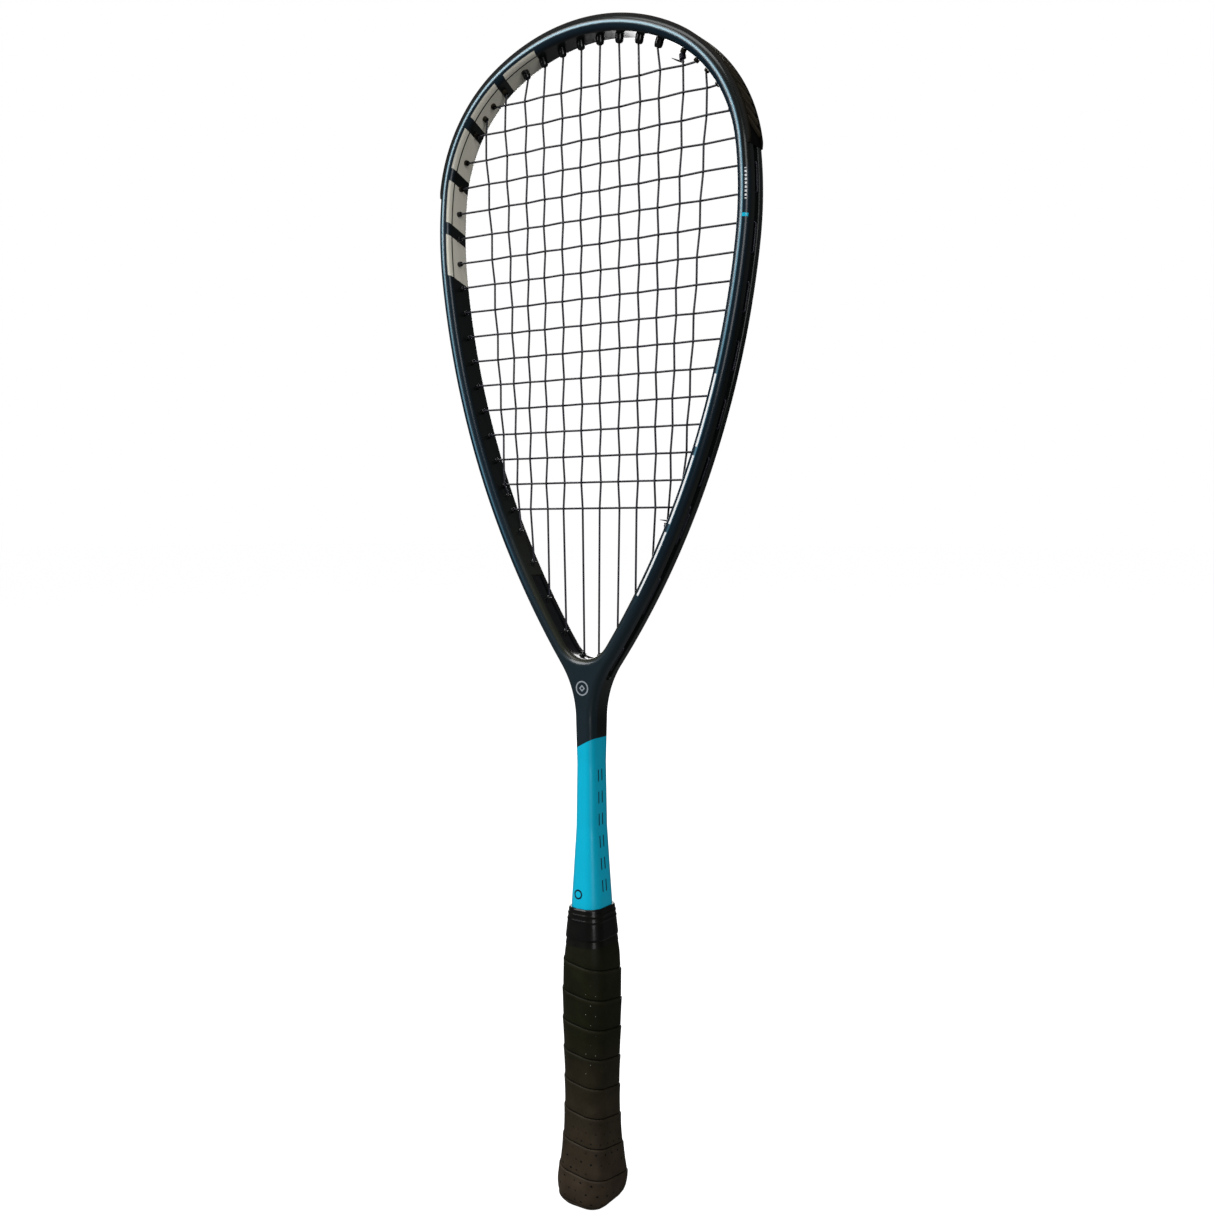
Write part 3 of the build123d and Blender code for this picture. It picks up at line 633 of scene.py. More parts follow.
def throat_shell():
    """Channel-shaped piece round the inside of the V, with the six middle mains' barrels."""
    shell = Shell()
    first = int(changes(INNER_WALL[:, 1] - RECESS_TOP_Z)[0]) + 1
    half, floor, ledge, skin = RECESS_HALF - 0.05, 0.7, 3.8, 0.02
    ys = np.array([-half, -half, -ledge - 0.1, -ledge, ledge, ledge + 0.1, half, half])
    ns = np.array([RECESS_DEPTH, skin, skin, floor, floor, skin, skin, RECESS_DEPTH])
    rows = [raised(INNER_WALL[i] + np.outer(ns, INNER_NORMAL[i]), ys)
            for i in range(first, len(INNER_WALL))]
    shell.grid(np.array(rows), ring=True)
    shell.add(rows[0], [list(range(len(ys)))])
    shell.mirror()
    for side in SIDES:
        for index in range(THROAT_MAINS):
            barrel(shell, foot_ends[side, index], mouth=THROAT_MOUTH)
    return shell


def crown_shell():
    shell = Shell()
    for side in SIDES:
        for index in range(CROWN_MAINS):
            barrel(shell, crown_ends[side, index], CROWN_RADIUS, CROWN_MOUTH)
    return shell


# ---- bumper
# heights are above the frame's outer wall
BUMPER_HALF, BUMPER_SKIN, BUMPER_TAPER = 8.3, 0.09, 4.0
RIB_FLOOR, RIB_PITCH, RIB_WIDTH, RIB_HALF, RIB_SLANT = 0.15, 6.0, 3.1, 5.2, 0.6
RAIL_GROOVE_Y, RAIL_GROOVE_HALF = 6.0, 0.4
RAIL_LEVEL = 0.3          # how proud the rails count as in the coat, where a rib is 1


def on_outer(run, y, height):
    """Point at an arc length, a depth and a height above the outer wall, right side if run > 0."""
    x, z, nx, nz = (np.interp(abs(run), OUTER_RUN, column)
                    for column in (*OUTER_WALL.T, *OUTER_NORMAL.T))
    return np.array([math.copysign(1, run) * (x + nx * height), y, z + nz * height])


def bumper_profile():
    """Half of the bumper's section from the middle to the front edge: (y, height)."""
    inner, outer = RAIL_GROOVE_Y - RAIL_GROOVE_HALF, RAIL_GROOVE_Y + RAIL_GROOVE_HALF
    surface = depth_at(0, NOSE, BEAM_HALF)
    turns = np.linspace(0, QUARTER, 6)
    edge = [(BUMPER_HALF - 1 + math.sin(a), BUMPER_PROUD - 1 + math.cos(a)) for a in turns]
    return ([(0, RIB_FLOOR), (inner - 0.15, RIB_FLOOR), (inner, 0.1), (outer, 0.1),
             (outer, BUMPER_PROUD - 0.2), (outer + 0.2, BUMPER_PROUD)]
            + edge + [(BUMPER_HALF, -0.75), (surface, -0.1), (0, 0.08)])


def bumper_shell():
    shell = Shell()
    half = np.array(bumper_profile())
    profile = np.vstack([half, half[-2:0:-1] * (-1, 1)])
    end = OUTER_RUN[BUMPER_LAST]
    taper = end - BUMPER_TAPER * (1 - np.sin(np.linspace(0, QUARTER, 8)))
    middle = np.arange(-end + BUMPER_TAPER + 1, end - BUMPER_TAPER - 0.5, 1.0)
    runs = np.concatenate([-taper[::-1], middle, taper])
    rows = []
    for run in runs:
        left = min(1.0, (end - abs(run)) / BUMPER_TAPER)
        share = 0.3 + 0.7 * math.sin(left * math.pi / 2)
        heights = np.where(profile[:, 1] > BUMPER_SKIN, BUMPER_SKIN + (profile[:, 1] - BUMPER_SKIN) * share,
                           profile[:, 1])
        rows.append([on_outer(run, y, h) for y, h in zip(profile[:, 0], heights)])
    maps = np.zeros((len(rows), len(profile), 4))
    maps[..., 0] = (profile[:, 1] > 0.5) * RAIL_LEVEL
    shell.grid(np.array(rows), maps, ring=True, caps=True)
    rising = [(-RIB_WIDTH / 2, RIB_FLOOR - 0.1), (-RIB_WIDTH / 2 + 0.15, BUMPER_PROUD - 0.25),
              (-RIB_WIDTH / 2 + 0.4, BUMPER_PROUD)]
    section = rising + [(-offset, height) for offset, height in rising[::-1]]
    count = int((end - BUMPER_TAPER - RIB_HALF * RIB_SLANT - RIB_WIDTH / 2) / RIB_PITCH)
    for k in [*range(-count, 0), *range(1, count + 1)]:
        bar = []
        for y in np.linspace(-RIB_HALF, RIB_HALF, 9):
            middle = k * RIB_PITCH + math.copysign(y, k * y) * RIB_SLANT
            bar.append([on_outer(middle + offset, y, height) for offset, height in section])
        shell.grid(np.array(bar), np.tile([1.0, 0, 0, 0], (9, 6, 1)), ring=True, caps=True)
    half_strip = Shell()
    strip(half_strip, 0, BUMPER_LAST + 1)
    half_strip.mirror()
    shell.add(np.vstack(half_strip.points), half_strip.faces)
    for side in SIDES:
        for index in range(CROWN_MAINS, len(MAIN_X)):
            barrel(shell, crown_ends[side, index])
        for row in range(CROSS_COUNT):
            if cross_ends[side, row].outer[2] >= BUMPER_END_Z:
                barrel(shell, cross_ends[side, row])
    return shell


# ---- handle
CORNER_POINTS, FLAT_POINTS = 14, 10


def growth(z, stations):
    """Smooth growth of the handle's section at a height."""
    heights, values = np.array(stations).T
    slopes = np.gradient(values, heights)
    k = int(np.clip(np.searchsorted(heights, z) - 1, 0, len(heights) - 2))
    step = heights[k + 1] - heights[k]
    t = (np.clip(z, heights[0], heights[-1]) - heights[k]) / step
    return ((2 * t ** 3 - 3 * t ** 2 + 1) * values[k] + (t ** 3 - 2 * t ** 2 + t) * step * slopes[k]
            + (3 * t ** 2 - 2 * t ** 3) * values[k + 1] + (t ** 3 - t ** 2) * step * slopes[k + 1])


def handle_ring(grown):
    """Points round the handle's section, counter-clockwise from the middle of the front,
    with their outward normals."""
    width, depth, corner = GRIP_WIDTH + grown, GRIP_DEPTH + grown, GRIP_CORNER + grown / 4
    points, normals = [], []
    for quarter in range(4):
        angles = quarter * math.pi / 2 - math.pi / 2 + np.linspace(0, QUARTER, CORNER_POINTS)
        sx, sy = ((1, -1), (1, 1), (-1, 1), (-1, -1))[quarter]
        centre = np.array([sx * (width / 2 - corner), sy * (depth / 2 - corner)])
        spokes = np.stack([np.cos(angles), np.sin(angles)], 1)
        points += list(centre + corner * spokes)
        normals += list(spokes)
    points, normals = np.array(points), np.array(normals)
    made, ways = [], []
    for k in range(4):
        a, b = (k * CORNER_POINTS - 1) % len(points), k * CORNER_POINTS
        parts = np.linspace(0, 1, FLAT_POINTS + 2)[1:-1, None]
        made += [points[a] + (points[b] - points[a]) * parts, points[b:b + CORNER_POINTS]]
        ways += [normals[a] + (normals[b] - normals[a]) * parts, normals[b:b + CORNER_POINTS]]
    ring, ways = np.vstack(made), np.vstack(ways)
    return np.roll(ring, -(FLAT_POINTS // 2), axis=0), unit(np.roll(ways, -(FLAT_POINTS // 2), axis=0))


PLAIN_RING = handle_ring(0)[0]
AROUND = lengths_along(np.vstack([PLAIN_RING, PLAIN_RING[:1]]))
PERIMETER = AROUND[-1]
TURN_PROFILE = np.array([(0, -0.3), (0.018, -0.3), (0.032, 0.0), (0.055, 0.12), (0.2, 0.16), (0.35, 0.2),
                         (0.5, 0.26), (0.65, 0.34), (0.8, 0.45), (0.9, 0.55), (0.945, 0.6), (0.965, 0.6),
                         (0.98, 0.52), (0.992, 0.3), (1, -0.3)])


def grip_shell():
    """The wound grip: each turn's upper edge stands over the turn above it."""
    shell = Shell()
    z_low, z_high = GRIP[0][0], GRIP[-1][0]
    first = math.floor((z_low - SEAM_Z) / WRAP_PITCH) - 1
    last = math.ceil((z_high - SEAM_Z) / WRAP_PITCH) + 2
    levels = np.concatenate([k + TURN_PROFILE[:-1, 0] for k in range(first, last)])
    rings = {}
    rows, maps = [], []
    phases = AROUND / PERIMETER
    for level in levels:
        row, row_map = [], []
        for column, phase in enumerate(phases):
            z = float(np.clip(SEAM_Z + (level - phase) * WRAP_PITCH, z_low, z_high))
            turn = ((z - SEAM_Z) / WRAP_PITCH + phase + 1e-9) % 1
            rise = np.interp(turn, *TURN_PROFILE.T)
            rise *= np.clip((WRAP_END_Z - z) / WRAP_FADE, 0, 1) * np.clip((z - z_low) / BUTT_FADE, 0.25, 1)
            key = round(z, 3)
            if key not in rings:
                rings[key] = handle_ring(growth(z, GRIP))
            ring, ways = rings[key]
            point = ring[column % len(ring)] + ways[column % len(ring)] * rise
            row.append((*point, z))
            row_map.append((phase * PERIMETER, (z - SEAM_Z) + phase * WRAP_PITCH, rise, z))
        rows.append(row)
        maps.append(row_map)
    shell.grid(np.array(rows), np.array(maps))
    return shell


def sleeve(stations, wall):
    """Sleeve through (height, growth) stations with an inner skin."""
    outside, inside = ([np.column_stack([handle_ring(g - thinner)[0], np.full(len(PLAIN_RING), z)])
                        for z, g in stations] for thinner in (0, 2 * wall))
    rows = np.array(outside + inside[::-1] + outside[:1])
    maps = np.zeros(rows.shape[:2] + (4,))
    maps[..., 0], maps[..., 1] = AROUND[:-1], rows[:, :1, 2]
    shell = Shell()
    shell.grid(rows, maps, ring=True)
    return shell


def collar_shell():
    """Moulded collar with soft ends and two raised ribs."""
    heights, values = np.array(COLLAR).T
    low, high = heights[0], heights[-1]
    stations = []
    for z in np.append(np.arange(low, high, 0.4), high):
        rib = sum(RIB_PROUD * max(0, 1 - ((z - centre) / RIB_REACH) ** 2) for centre in COLLAR_RIBS)
        edge = 1.1 * (1 - min(1, (z - low) / 1.2)) ** 2 + 1.0 * (1 - min(1, (high - z) / 1.0)) ** 2
        stations.append((z, np.interp(z, heights, values) + rib - edge))
    return sleeve(stations, COLLAR_WALL)


def tape_shell():
    return sleeve([(z, growth(z, GRIP) + 2 * TAPE_WALL) for z in np.linspace(TAPE_LOW, TAPE_TOP, 9)],
                  TAPE_WALL)


# ---- materials
class Graph:
    """A material's nodes. Lengths in it are millimetres."""

    def __init__(self, name, **constants):
        self.material = bpy.data.materials.new(name)
        self.material.use_nodes = True
        self.tree = self.material.node_tree
        self.shader = self.tree.nodes["Principled BSDF"]
        for socket, value in constants.items():
            self.shader.inputs[socket.replace("_", " ")].default_value = value
        place = self.node("TexCoord").outputs["Object"]
        self.place = self.node("VectorMath", {0: place, "Scale": 1 / MM}, operation="SCALE").outputs[0]
        self.x, self.y, self.z = self.split(self.place)

    def node(self, kind, inputs=(), **settings):
        made = self.tree.nodes.new("ShaderNode" + kind)
        for key, value in settings.items():
            setattr(made, key, value)
        for key, value in dict(inputs).items():
            self.feed(made.inputs[key], value)
        return made

    def feed(self, socket, value):
        if isinstance(value, bpy.types.NodeSocket):
            self.tree.links.new(value, socket)
        else:
            socket.default_value = value

    def math(self, operation, *values, clamp=False):
        return self.node("Math", enumerate(values), operation=operation, use_clamp=clamp).outputs[0]

    def split(self, vector):
        return self.node("SeparateXYZ", {0: vector}).outputs[:]

    def layer(self, name):
        return self.split(self.node("UVMap", uv_map=name).outputs[0])[:2]

    def linear(self, value, slope, offset=0.0):
        return self.math("MULTIPLY_ADD", value, slope, offset)

    def ramp(self, value, slope, offset=0.0):
        """A straight line clamped to between 0 and 1."""
        return self.math("MULTIPLY_ADD", value, slope, offset, clamp=True)

    def band(self, value, low, high, soft=0.2):
        """1 between low and high, with soft edges that wide."""
        return self.every(self.ramp(value, 1 / soft, 0.5 - low / soft),
                          self.ramp(value, -1 / soft, 0.5 + high / soft))

    def every(self, *masks):
        made = masks[0]
        for mask in masks[1:]:
            made = self.math("MULTIPLY", made, mask)
        return made

    def either(self, *masks):
        made = masks[0]
        for mask in masks[1:]:
            made = self.math("MAXIMUM", made, mask)
        return made

    def mix(self, factor, first, second):
        return self.node("Mix", {0: factor, 6: first, 7: second}, data_type="RGBA").outputs[2]

    def distance(self, across, along):
        squares = [self.math("POWER", value, 2.0) for value in (across, along)]
        return self.math("SQRT", self.math("ADD", *squares))

    def noise(self, size, detail=3.0, stretch=(1, 1, 1)):
        """Noise from 0 to 1 whose grains are about that many millimetres across."""
        place = self.node("VectorMath", {0: self.place, 1: stretch}, operation="MULTIPLY").outputs[0]
        return self.node("TexNoise", {"Scale": 1 / size, "Detail": detail, "Vector": place}).outputs[0]

    def colour(self, value):
        self.feed(self.shader.inputs["Base Color"], value)

    def roughness(self, value):
        self.feed(self.shader.inputs["Roughness"], value)

    def bump(self, height, millimetres, strength=1.0):
        made = self.node("Bump", {"Distance": millimetres * MM, "Strength": strength, "Height": height})
        self.feed(self.shader.inputs["Normal"], made.outputs[0])


def rgb(red, green, blue):
    return (red, green, blue, 1.0)


BLACK = rgb(0.006, 0.008, 0.008)
NAVY = rgb(0.003, 0.015, 0.027)
SLATE = rgb(0.010, 0.022, 0.030)
# colours of the painted highlight along the nose, at the crown and lower down
NOSE_HIGHLIGHT_CROWN, NOSE_HIGHLIGHT_LOW = rgb(0.20, 0.42, 0.52), rgb(0.07, 0.20, 0.29)
BEIGE, OLIVE = rgb(0.88, 0.85, 0.73), rgb(0.022, 0.024, 0.016)
CYAN = rgb(0.0, 0.58, 0.86)
WHITE = rgb(0.95, 0.97, 0.98)


def frame_paint():
    """Paint in the racket's own pattern, with painted highlight along the nose and painted sheen on the
    front of the throat. Its marks are plain bars, dashes, rings and a diamond.
    """
    g = Graph("frame_paint", Coat_Weight=0.3, Coat_Roughness=0.12, Coat_IOR=1.5, Specular_IOR_Level=0.3)
    run, inner_gap = g.layer("run")
    outer_gap = g.layer("rim")[0]
    deep = g.math("ABSOLUTE", g.y)
    left, right = g.ramp(g.x, -1.0), g.ramp(g.x, 1.0)
    front = g.ramp(g.y, -1.0, -3.0)
    head = g.ramp(g.z, 0.05, -284 * 0.05)

    flakes = g.noise(0.35, 2.0)
    base = g.mix(g.ramp(deep, 0.45, -2.9), BLACK, NAVY)
    # below the head the front face is slate, which is the dark paint with painted sheen; the sides and back
    # are black
    base = g.mix(g.ramp(g.z, -1 / 60, 390 / 60), base, g.mix(front, BLACK, SLATE))
    base = g.mix(g.ramp(flakes, 1.0, -0.5), base, g.mix(0.3, base, SLATE))
    flank = g.every(g.band(run, -9.0, 155.0, 4.0), g.ramp(outer_gap, -2.0, 6.4))
    base = g.mix(flank, base, BLACK)
    ledge = g.every(g.ramp(inner_gap, -2.0, 4.2), g.ramp(g.z, -1 / 60, 420 / 60))
    base = g.mix(ledge, base, OLIVE)

    # painted highlight: a pale line along the middle of the nose, front and back, brighter at the crown and
    # fading out towards the throat
    fade = g.ramp(run, -1 / 90, 400 / 90)
    nose_highlight = g.every(g.ramp(deep, 1.0, -3.0), head, fade, g.band(inner_gap, 3.5, 4.5, 0.5))
    line = g.mix(g.ramp(run, 1 / 330, -20 / 330), NOSE_HIGHLIGHT_CROWN, NOSE_HIGHLIGHT_LOW)
    paint = g.mix(nose_highlight, base, line)

    # pale bars inside the left of the head, broken by slanted gaps
    leaned = g.math("ADD", run, g.linear(g.y, -0.35))
    inside = g.every(left, g.band(inner_gap, -1.0, 1.9, 0.2), g.band(g.y, -9.3, 8.6, 0.3))
    panels = g.either(*[g.band(leaned, 37.0 + 32.5 * k, 62.0 + 32.5 * k) for k in range(5)])
    groove = g.band(g.y, -6.3, -5.3)
    worn = g.linear(g.noise(1.6), 0.25, 0.82)
    pale = g.mix(groove, g.mix(worn, rgb(0.70, 0.67, 0.55), BEIGE), OLIVE)
    paint = g.mix(g.every(inside, panels), paint, pale)

    # three equal strokes, dashes and a short bar on the right of the head
    strokes = g.either(*[g.band(run, 262.0 + 45.0 * k, 302.0 + 45.0 * k) for k in range(3)])
    dashes = g.every(g.band(run, 155.0, 171.0),
                     g.band(g.math("FRACT", g.linear(run, 0.5)), 0.2, 0.75, 0.1))
    bar = g.every(g.band(run, 178.0, 179.8), g.band(outer_gap, 0.6, 3.4))
    for mark, colour in ((g.every(strokes, g.band(outer_gap, 3.9, 5.1, 0.15)), WHITE),
                         (g.every(dashes, g.band(outer_gap, 1.5, 2.4, 0.15)), WHITE), (bar, CYAN)):
        paint = g.mix(g.every(right, front, mark), paint, colour)

    # ring and diamond on the throat
    high = g.linear(g.z, 1.0, -307.0)
    diamond = g.math("ADD", g.math("ABSOLUTE", g.x), g.math("ABSOLUTE", high))
    emblem = g.either(g.band(g.distance(g.x, high), 3.5, 4.3, 0.15), g.band(diamond, 1.0, 2.0, 0.15))
    paint = g.mix(g.every(front, emblem), paint, rgb(0.36, 0.40, 0.44))

    # shaft, with two columns of equal dashes on its side and a ring on its front
    border = g.math("MINIMUM", g.linear(g.x, 0.533, 274.3), 278.0)
    shaft = g.ramp(g.math("SUBTRACT", border, g.z), 4.0, 0.5)
    equal_dashes = g.either(*[g.band(g.z, 187.0 + 13.0 * k, 194.0 + 13.0 * k) for k in range(6)])
    side_marks = g.every(right, g.band(outer_gap, -0.5, 2.4, 0.2), equal_dashes,
                         g.either(g.band(g.y, -2.8, -1.8, 0.1), g.band(g.y, 0.8, 1.8, 0.1)))
    low_ring = g.distance(g.linear(g.x, 1.0, 2.0), g.linear(g.z, 1.0, -186.0))
    badge = g.every(front, g.band(low_ring, 1.9, 2.9, 0.15))
    cyan = g.mix(g.linear(g.noise(9.0), 0.5, -0.1), CYAN, rgb(0.0, 0.54, 0.80))
    cyan = g.mix(g.either(side_marks, badge), cyan, rgb(0.001, 0.010, 0.030))
    paint = g.mix(shaft, paint, cyan)

    g.colour(paint)
    g.roughness(g.linear(g.noise(6.0), 0.10, 0.27))
    g.bump(g.noise(2.5, 2.0), 0.006, 0.3)
    return g.material


def moulded(name, colour, other, rough, grain, depth, **constants):
    """Moulded polymer with a fine grain and slight variation of colour and gloss."""
    g = Graph(name, **constants)
    patches = g.noise(grain * 9)
    g.colour(g.mix(g.ramp(patches, 1.8, -0.4), colour, other))
    g.roughness(g.linear(g.noise(grain * 4), 0.18, rough - 0.09))
    g.bump(g.noise(grain, 5.0), depth, 0.6)
    return g.material


def bumper_coat():
    """Matt moulded nylon, brown on its ribs and rails, and near black on the floor and in the groove between
    them, which is painted shade.
    """
    g = Graph("bumper_nylon", Specular_IOR_Level=0.08)
    proud = g.layer("run")[0]
    patches = g.ramp(g.noise(7.0, 4.0), 1.8, -0.4)
    high = g.mix(patches, rgb(0.024, 0.020, 0.013), rgb(0.050, 0.041, 0.028))
    # painted shade: the floor and groove between the ribs and rails are near black
    g.colour(g.mix(proud, rgb(0.002, 0.002, 0.002), high))
    g.roughness(g.linear(g.noise(2.0), 0.18, 0.45))
    g.bump(g.noise(0.5, 5.0), 0.03, 0.6)
    return g.material


def string_coat():
    """Coated string: fine filaments that wind round it, with painted sheen on the crests of the winding."""
    g = Graph("string_nylon", Coat_Weight=0.2, Coat_Roughness=0.2, Specular_IOR_Level=0.35)
    run, turn = g.layer("run")
    twist = g.math("SINE", g.math("ADD", g.linear(run, 2.4), g.linear(turn, TURN * 6)))
    patches = g.noise(5.0)
    dark, light = rgb(0.004, 0.004, 0.009), rgb(0.022, 0.024, 0.045)
    colour = g.mix(g.ramp(patches, 2.2, -0.9), dark, light)
    # painted sheen: a lighter bluish colour on the crests of the winding
    g.colour(g.mix(g.linear(twist, 0.12, 0.12), colour, rgb(0.03, 0.034, 0.05)))
    g.roughness(g.linear(patches, 0.2, 0.30))
    g.bump(twist, 0.02, 0.5)
    return g.material


def grip_skin():
    """Perforated polyurethane: rows of small holes along the winding and grain, with painted light: shade in
    the creases between turns, a patchy highlight on the raised edges, and glints in some holes.
    """
    g = Graph("grip_polyurethane", Sheen_Weight=0.01, Sheen_Roughness=0.5, Specular_IOR_Level=0.14)
    along, across = g.layer("run")
    rise = g.layer("rim")[0]
    column, row = PERIMETER / 18, WRAP_PITCH / 3
    rows_up = g.linear(across, 1 / row)
    shift = g.linear(g.math("FLOOR", rows_up), 0.5)
    u = g.linear(g.math("FRACT", g.math("ADD", g.linear(along, 1 / column), shift)), column, -column / 2)
    v = g.linear(g.math("FRACT", rows_up), row, -row / 2)
    far = g.distance(u, v)
    low_down = g.ramp(g.z, -1 / 30, 62 / 30)
    holes = g.every(g.ramp(far, -5.0, 3.4), g.linear(low_down, 0.85, 0.15),
                    g.ramp(g.noise(14.0, 1.0), 6.0, -2.1))
    # painted glints: pale dots in some holes, in a band down one side
    painted_glints = g.every(g.ramp(far, -8.0, 2.6), g.band(along, 5.5, 12.5),
                     g.band(g.z, 70.0, 152.0), g.ramp(g.noise(17.0, 0.0), 9.0, -4.2))
    # painted shade: near black in the creases between the turns
    crease = g.ramp(rise, -2.6, 0.25)
    crown = g.ramp(rise, 6.0, -3.1)
    wear_and_highlight_noise = g.noise(11.0, 4.0)
    patches = g.ramp(wear_and_highlight_noise, 2.0, -0.6)
    high = g.mix(patches, rgb(0.0075, 0.0082, 0.0022), rgb(0.014, 0.0145, 0.005))
    low = g.mix(patches, rgb(0.038, 0.027, 0.017), rgb(0.070, 0.051, 0.034))
    base = g.mix(g.ramp(g.z, -1 / 95, 105 / 95), high, low)
    # painted highlight: paler on the raised edges of the turns, broken up by the same noise that varies the
    # wear
    base = g.mix(g.every(crown, g.ramp(wear_and_highlight_noise, 0.9)), base, rgb(0.035, 0.031, 0.020))
    base = g.mix(g.either(crease, holes), base, rgb(0.002, 0.002, 0.001))
    base = g.mix(painted_glints, base, rgb(0.30, 0.30, 0.27))
    g.colour(base)
    g.roughness(g.linear(g.noise(3.0, 4.0), 0.22, 0.42))
    grain = g.linear(g.noise(0.7, 4.0), 0.5)
    g.bump(g.math("SUBTRACT", grain, g.linear(holes, 1.4)), 0.16, 0.7)
    return g.material


def steel_wire():
    g = Graph("staple_steel", Metallic=1.0)
    drawn = g.noise(0.4, 3.0, stretch=(1, 1, 8))
    g.colour(g.mix(drawn, rgb(0.42, 0.42, 0.43), rgb(0.62, 0.62, 0.63)))
    g.roughness(g.linear(drawn, 0.2, 0.25))
    return g.material


GLOSS = {"Coat_Weight": 0.4, "Coat_Roughness": 0.06, "Specular_IOR_Level": 0.25}
paint = frame_paint()
grommet_nylon = moulded("grommet_nylon", rgb(0.003, 0.003, 0.004), rgb(0.007, 0.008, 0.009), 0.25, 0.6, 0.01,
                        **GLOSS)
collar_rubber = moulded("collar_rubber", rgb(0.003, 0.003, 0.003), rgb(0.006, 0.006, 0.005), 0.35, 0.8, 0.03,
                        Coat_Weight=0.25, Coat_Roughness=0.12, Specular_IOR_Level=0.15)
tape_film = moulded("tape_film", rgb(0.004, 0.004, 0.003), rgb(0.008, 0.008, 0.006), 0.35, 0.7, 0.02,
                    Coat_Weight=0.12, Coat_Roughness=0.15, Specular_IOR_Level=0.15)
polymer = moulded("handle_polymer", rgb(0.012, 0.012, 0.014), rgb(0.024, 0.024, 0.026), 0.5, 0.5, 0.04)
foam = moulded("core_foam", rgb(0.55, 0.51, 0.41), rgb(0.66, 0.62, 0.52), 0.85, 0.9, 0.3)
wire = steel_wire()
coat = string_coat()

# ---- pieces
frame_shell().piece("racket_frame", paint, "frame_paint", "frame")
bumper_shell().piece("crown_bumper", bumper_coat(), "bumper_nylon", "bumper_guard")
crown_shell().piece("crown_barrels", grommet_nylon, "grommet_nylon", "crown_grommets")
for side, word in ((-1, "left"), (1, "right")):
    strip_shell(side).piece("side_strip_" + word, grommet_nylon, "grommet_nylon", "grommet_strip_" + word)
throat_shell().piece("throat_insert", grommet_nylon, "grommet_nylon", "throat_grommet")
string_shell().piece("string_bed", coat, "string_nylon", "string")
knot_shell().piece("tie_off_knots", coat, "string_nylon", "string_knots")
grip = grip_shell().piece("wound_grip", grip_skin(), "grip_polyurethane", "grip_wrap")
wall = grip.modifiers.new("wall", "SOLIDIFY")
wall.thickness, wall.offset = WRAP_THICKNESS * MM, -1.0
tape_shell().piece("tape_band", tape_film, "tape_film", "finishing_tape")
collar_shell().piece("top_collar", collar_rubber, "collar_rubber", "grip_collar")
for node, material in (("foam_core", foam), ("butt_cap_staples", wire), ("butt_cap", polymer),
                       ("handle_pallet", polymer)):
    mesh = frame["nodes"][node].data
    mesh.materials.clear()
    mesh.materials.append(material)

# ---- floor, light and camera
FLOOR_SIZE, FLOOR_DROP = 60.0, 0.0005
CAMERA_PLACE = (0.414317, -0.618282, 0.398278)
CAMERA_TURN = np.radians([3.3649, 33.1133, 0.9079])      # axis times angle, from level along +Y
LENS, SENSOR = 37.94, 36.0


def by_ray(tree, lit, seen, output):
    """One shader lights the racket, and the camera sees the other."""
    mix, rays = tree.nodes.new("ShaderNodeMixShader"), tree.nodes.new("ShaderNodeLightPath")
    for socket, made in zip(mix.inputs, (rays.outputs["Is Camera Ray"], lit.outputs[0], seen.outputs[0])):
        tree.links.new(made, socket)
    tree.links.new(mix.outputs[0], tree.nodes[output].inputs[0])


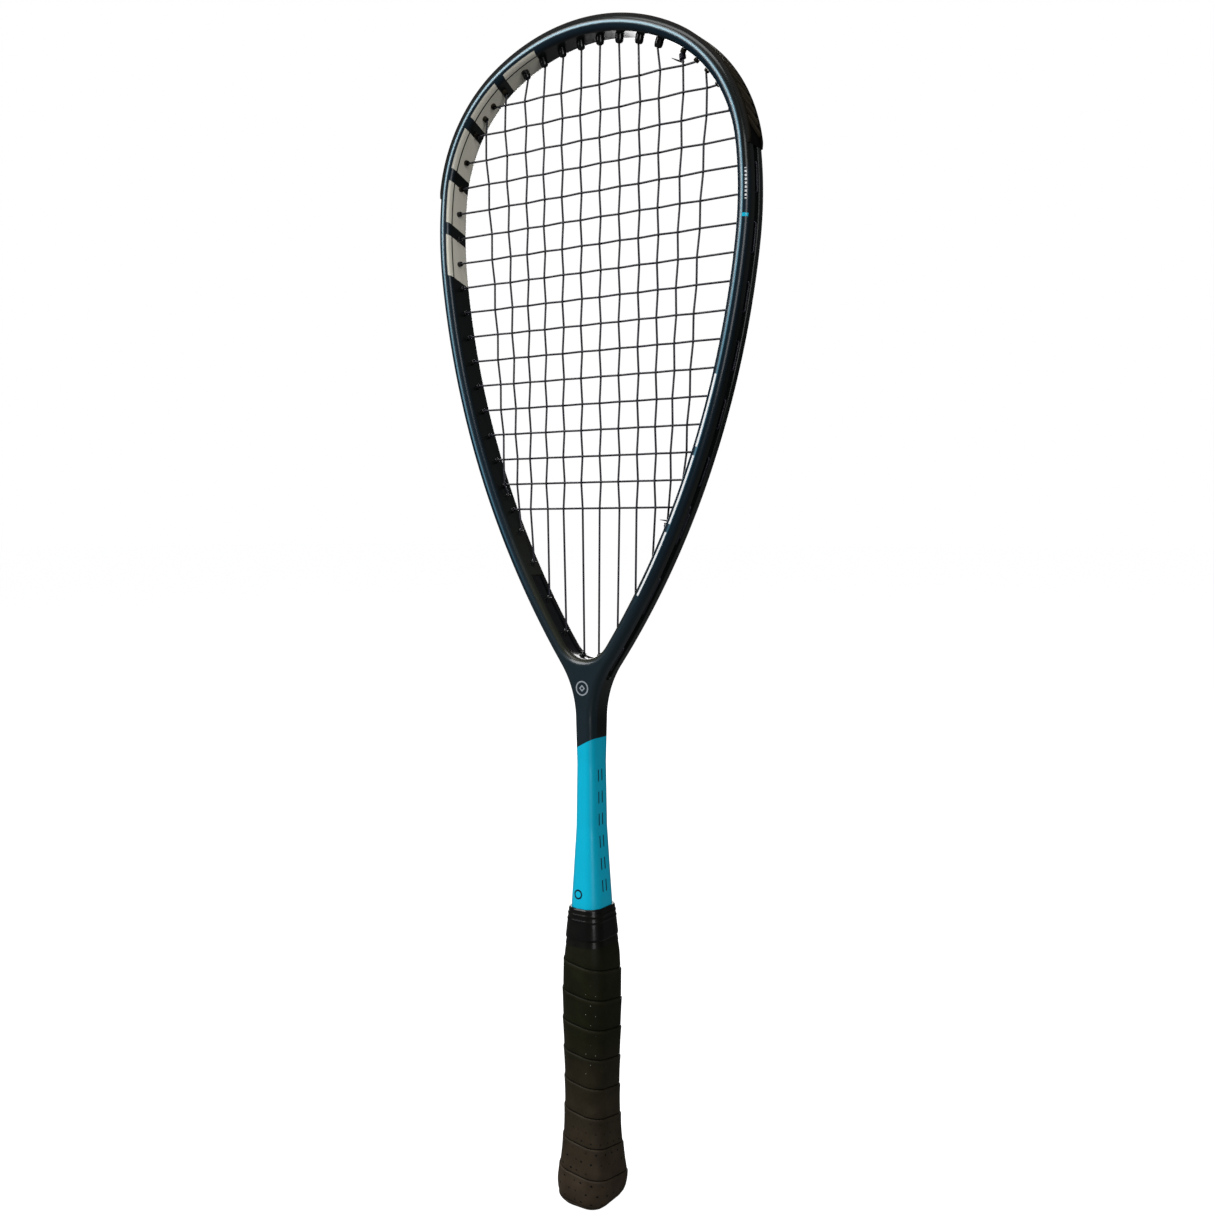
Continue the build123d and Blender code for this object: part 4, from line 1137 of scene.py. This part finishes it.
def floor():
    mesh = bpy.data.meshes.new("floor")
    half = FLOOR_SIZE / 2
    corners = [(x * half, y * half, -FLOOR_DROP) for x, y in ((-1, -1), (1, -1), (1, 1), (-1, 1))]
    mesh.from_pydata(corners, [], [(0, 1, 2, 3)])
    made = linked("floor", mesh)
    g = Graph("floor_white", Roughness=0.9, Specular_IOR_Level=0.1, Emission_Color=(1, 1, 1, 1),
              Emission_Strength=0.97)
    g.colour(g.mix(g.noise(40.0), rgb(0.42, 0.42, 0.42), rgb(0.44, 0.44, 0.44)))
    by_ray(g.tree, g.node("BsdfDiffuse", {"Color": rgb(0.12, 0.12, 0.12)}), g.shader, "Material Output")
    mesh.materials.append(g.material)


def placed(right, up, back, place):
    """Matrix of something with those axes of its own at that place."""
    return Matrix([[*row, p] for row, p in zip(np.column_stack([right, up, back]), place)]
                  + [[0, 0, 0, 1]])


def light(name, place, target, size, power):
    data = bpy.data.lights.new(name, "AREA")
    data.shape, data.size, data.size_y = "RECTANGLE", size[0], size[1]
    data.energy = power
    back = unit(np.array(place) - np.array(target))
    right = unit(np.cross((0, 0, 1.0), back))
    linked(name, data).matrix_world = placed(right, np.cross(back, right), back, place)


def world():
    made = bpy.data.worlds.new("studio")
    made.use_nodes = True
    nodes = made.node_tree.nodes
    lit, seen = nodes["Background"], nodes.new("ShaderNodeBackground")
    for shader, colour, strength in ((lit, (0.95, 0.97, 1, 1), 0.06), (seen, (1, 1, 1, 1), 1.0)):
        shader.inputs["Color"].default_value = colour
        shader.inputs["Strength"].default_value = strength
    by_ray(made.node_tree, lit, seen, "World Output")
    bpy.context.scene.world = made


def camera():
    data = bpy.data.cameras.new("camera")
    data.lens, data.sensor_width = LENS, SENSOR
    data.clip_start, data.clip_end = 0.01, 50.0
    angle = np.linalg.norm(CAMERA_TURN)
    turn = np.array(Matrix.Rotation(angle, 3, tuple(CAMERA_TURN / angle)))
    right, down, ahead = turn @ np.array([[1, 0, 0], [0, 0, -1], [0, 1, 0]], float)
    made = linked("camera", data)
    made.matrix_world = placed(right, -down, -ahead, CAMERA_PLACE)
    bpy.context.scene.camera = made


floor()
world()
camera()
light("key", (-1.1, -1.5, 1.6), (0, 0, 0.45), (1.1, 1.4), 40)
light("fill", (1.6, -1.2, 0.7), (0, 0, 0.35), (0.7, 1.6), 15)
light("back", (-1.0, 1.7, 1.1), (0, 0, 0.4), (1.0, 1.4), 18)
light("top", (0.1, -0.3, 2.0), (0, 0, 0.5), (1.2, 0.7), 9)
bpy.context.scene.view_settings.view_transform = "Standard"
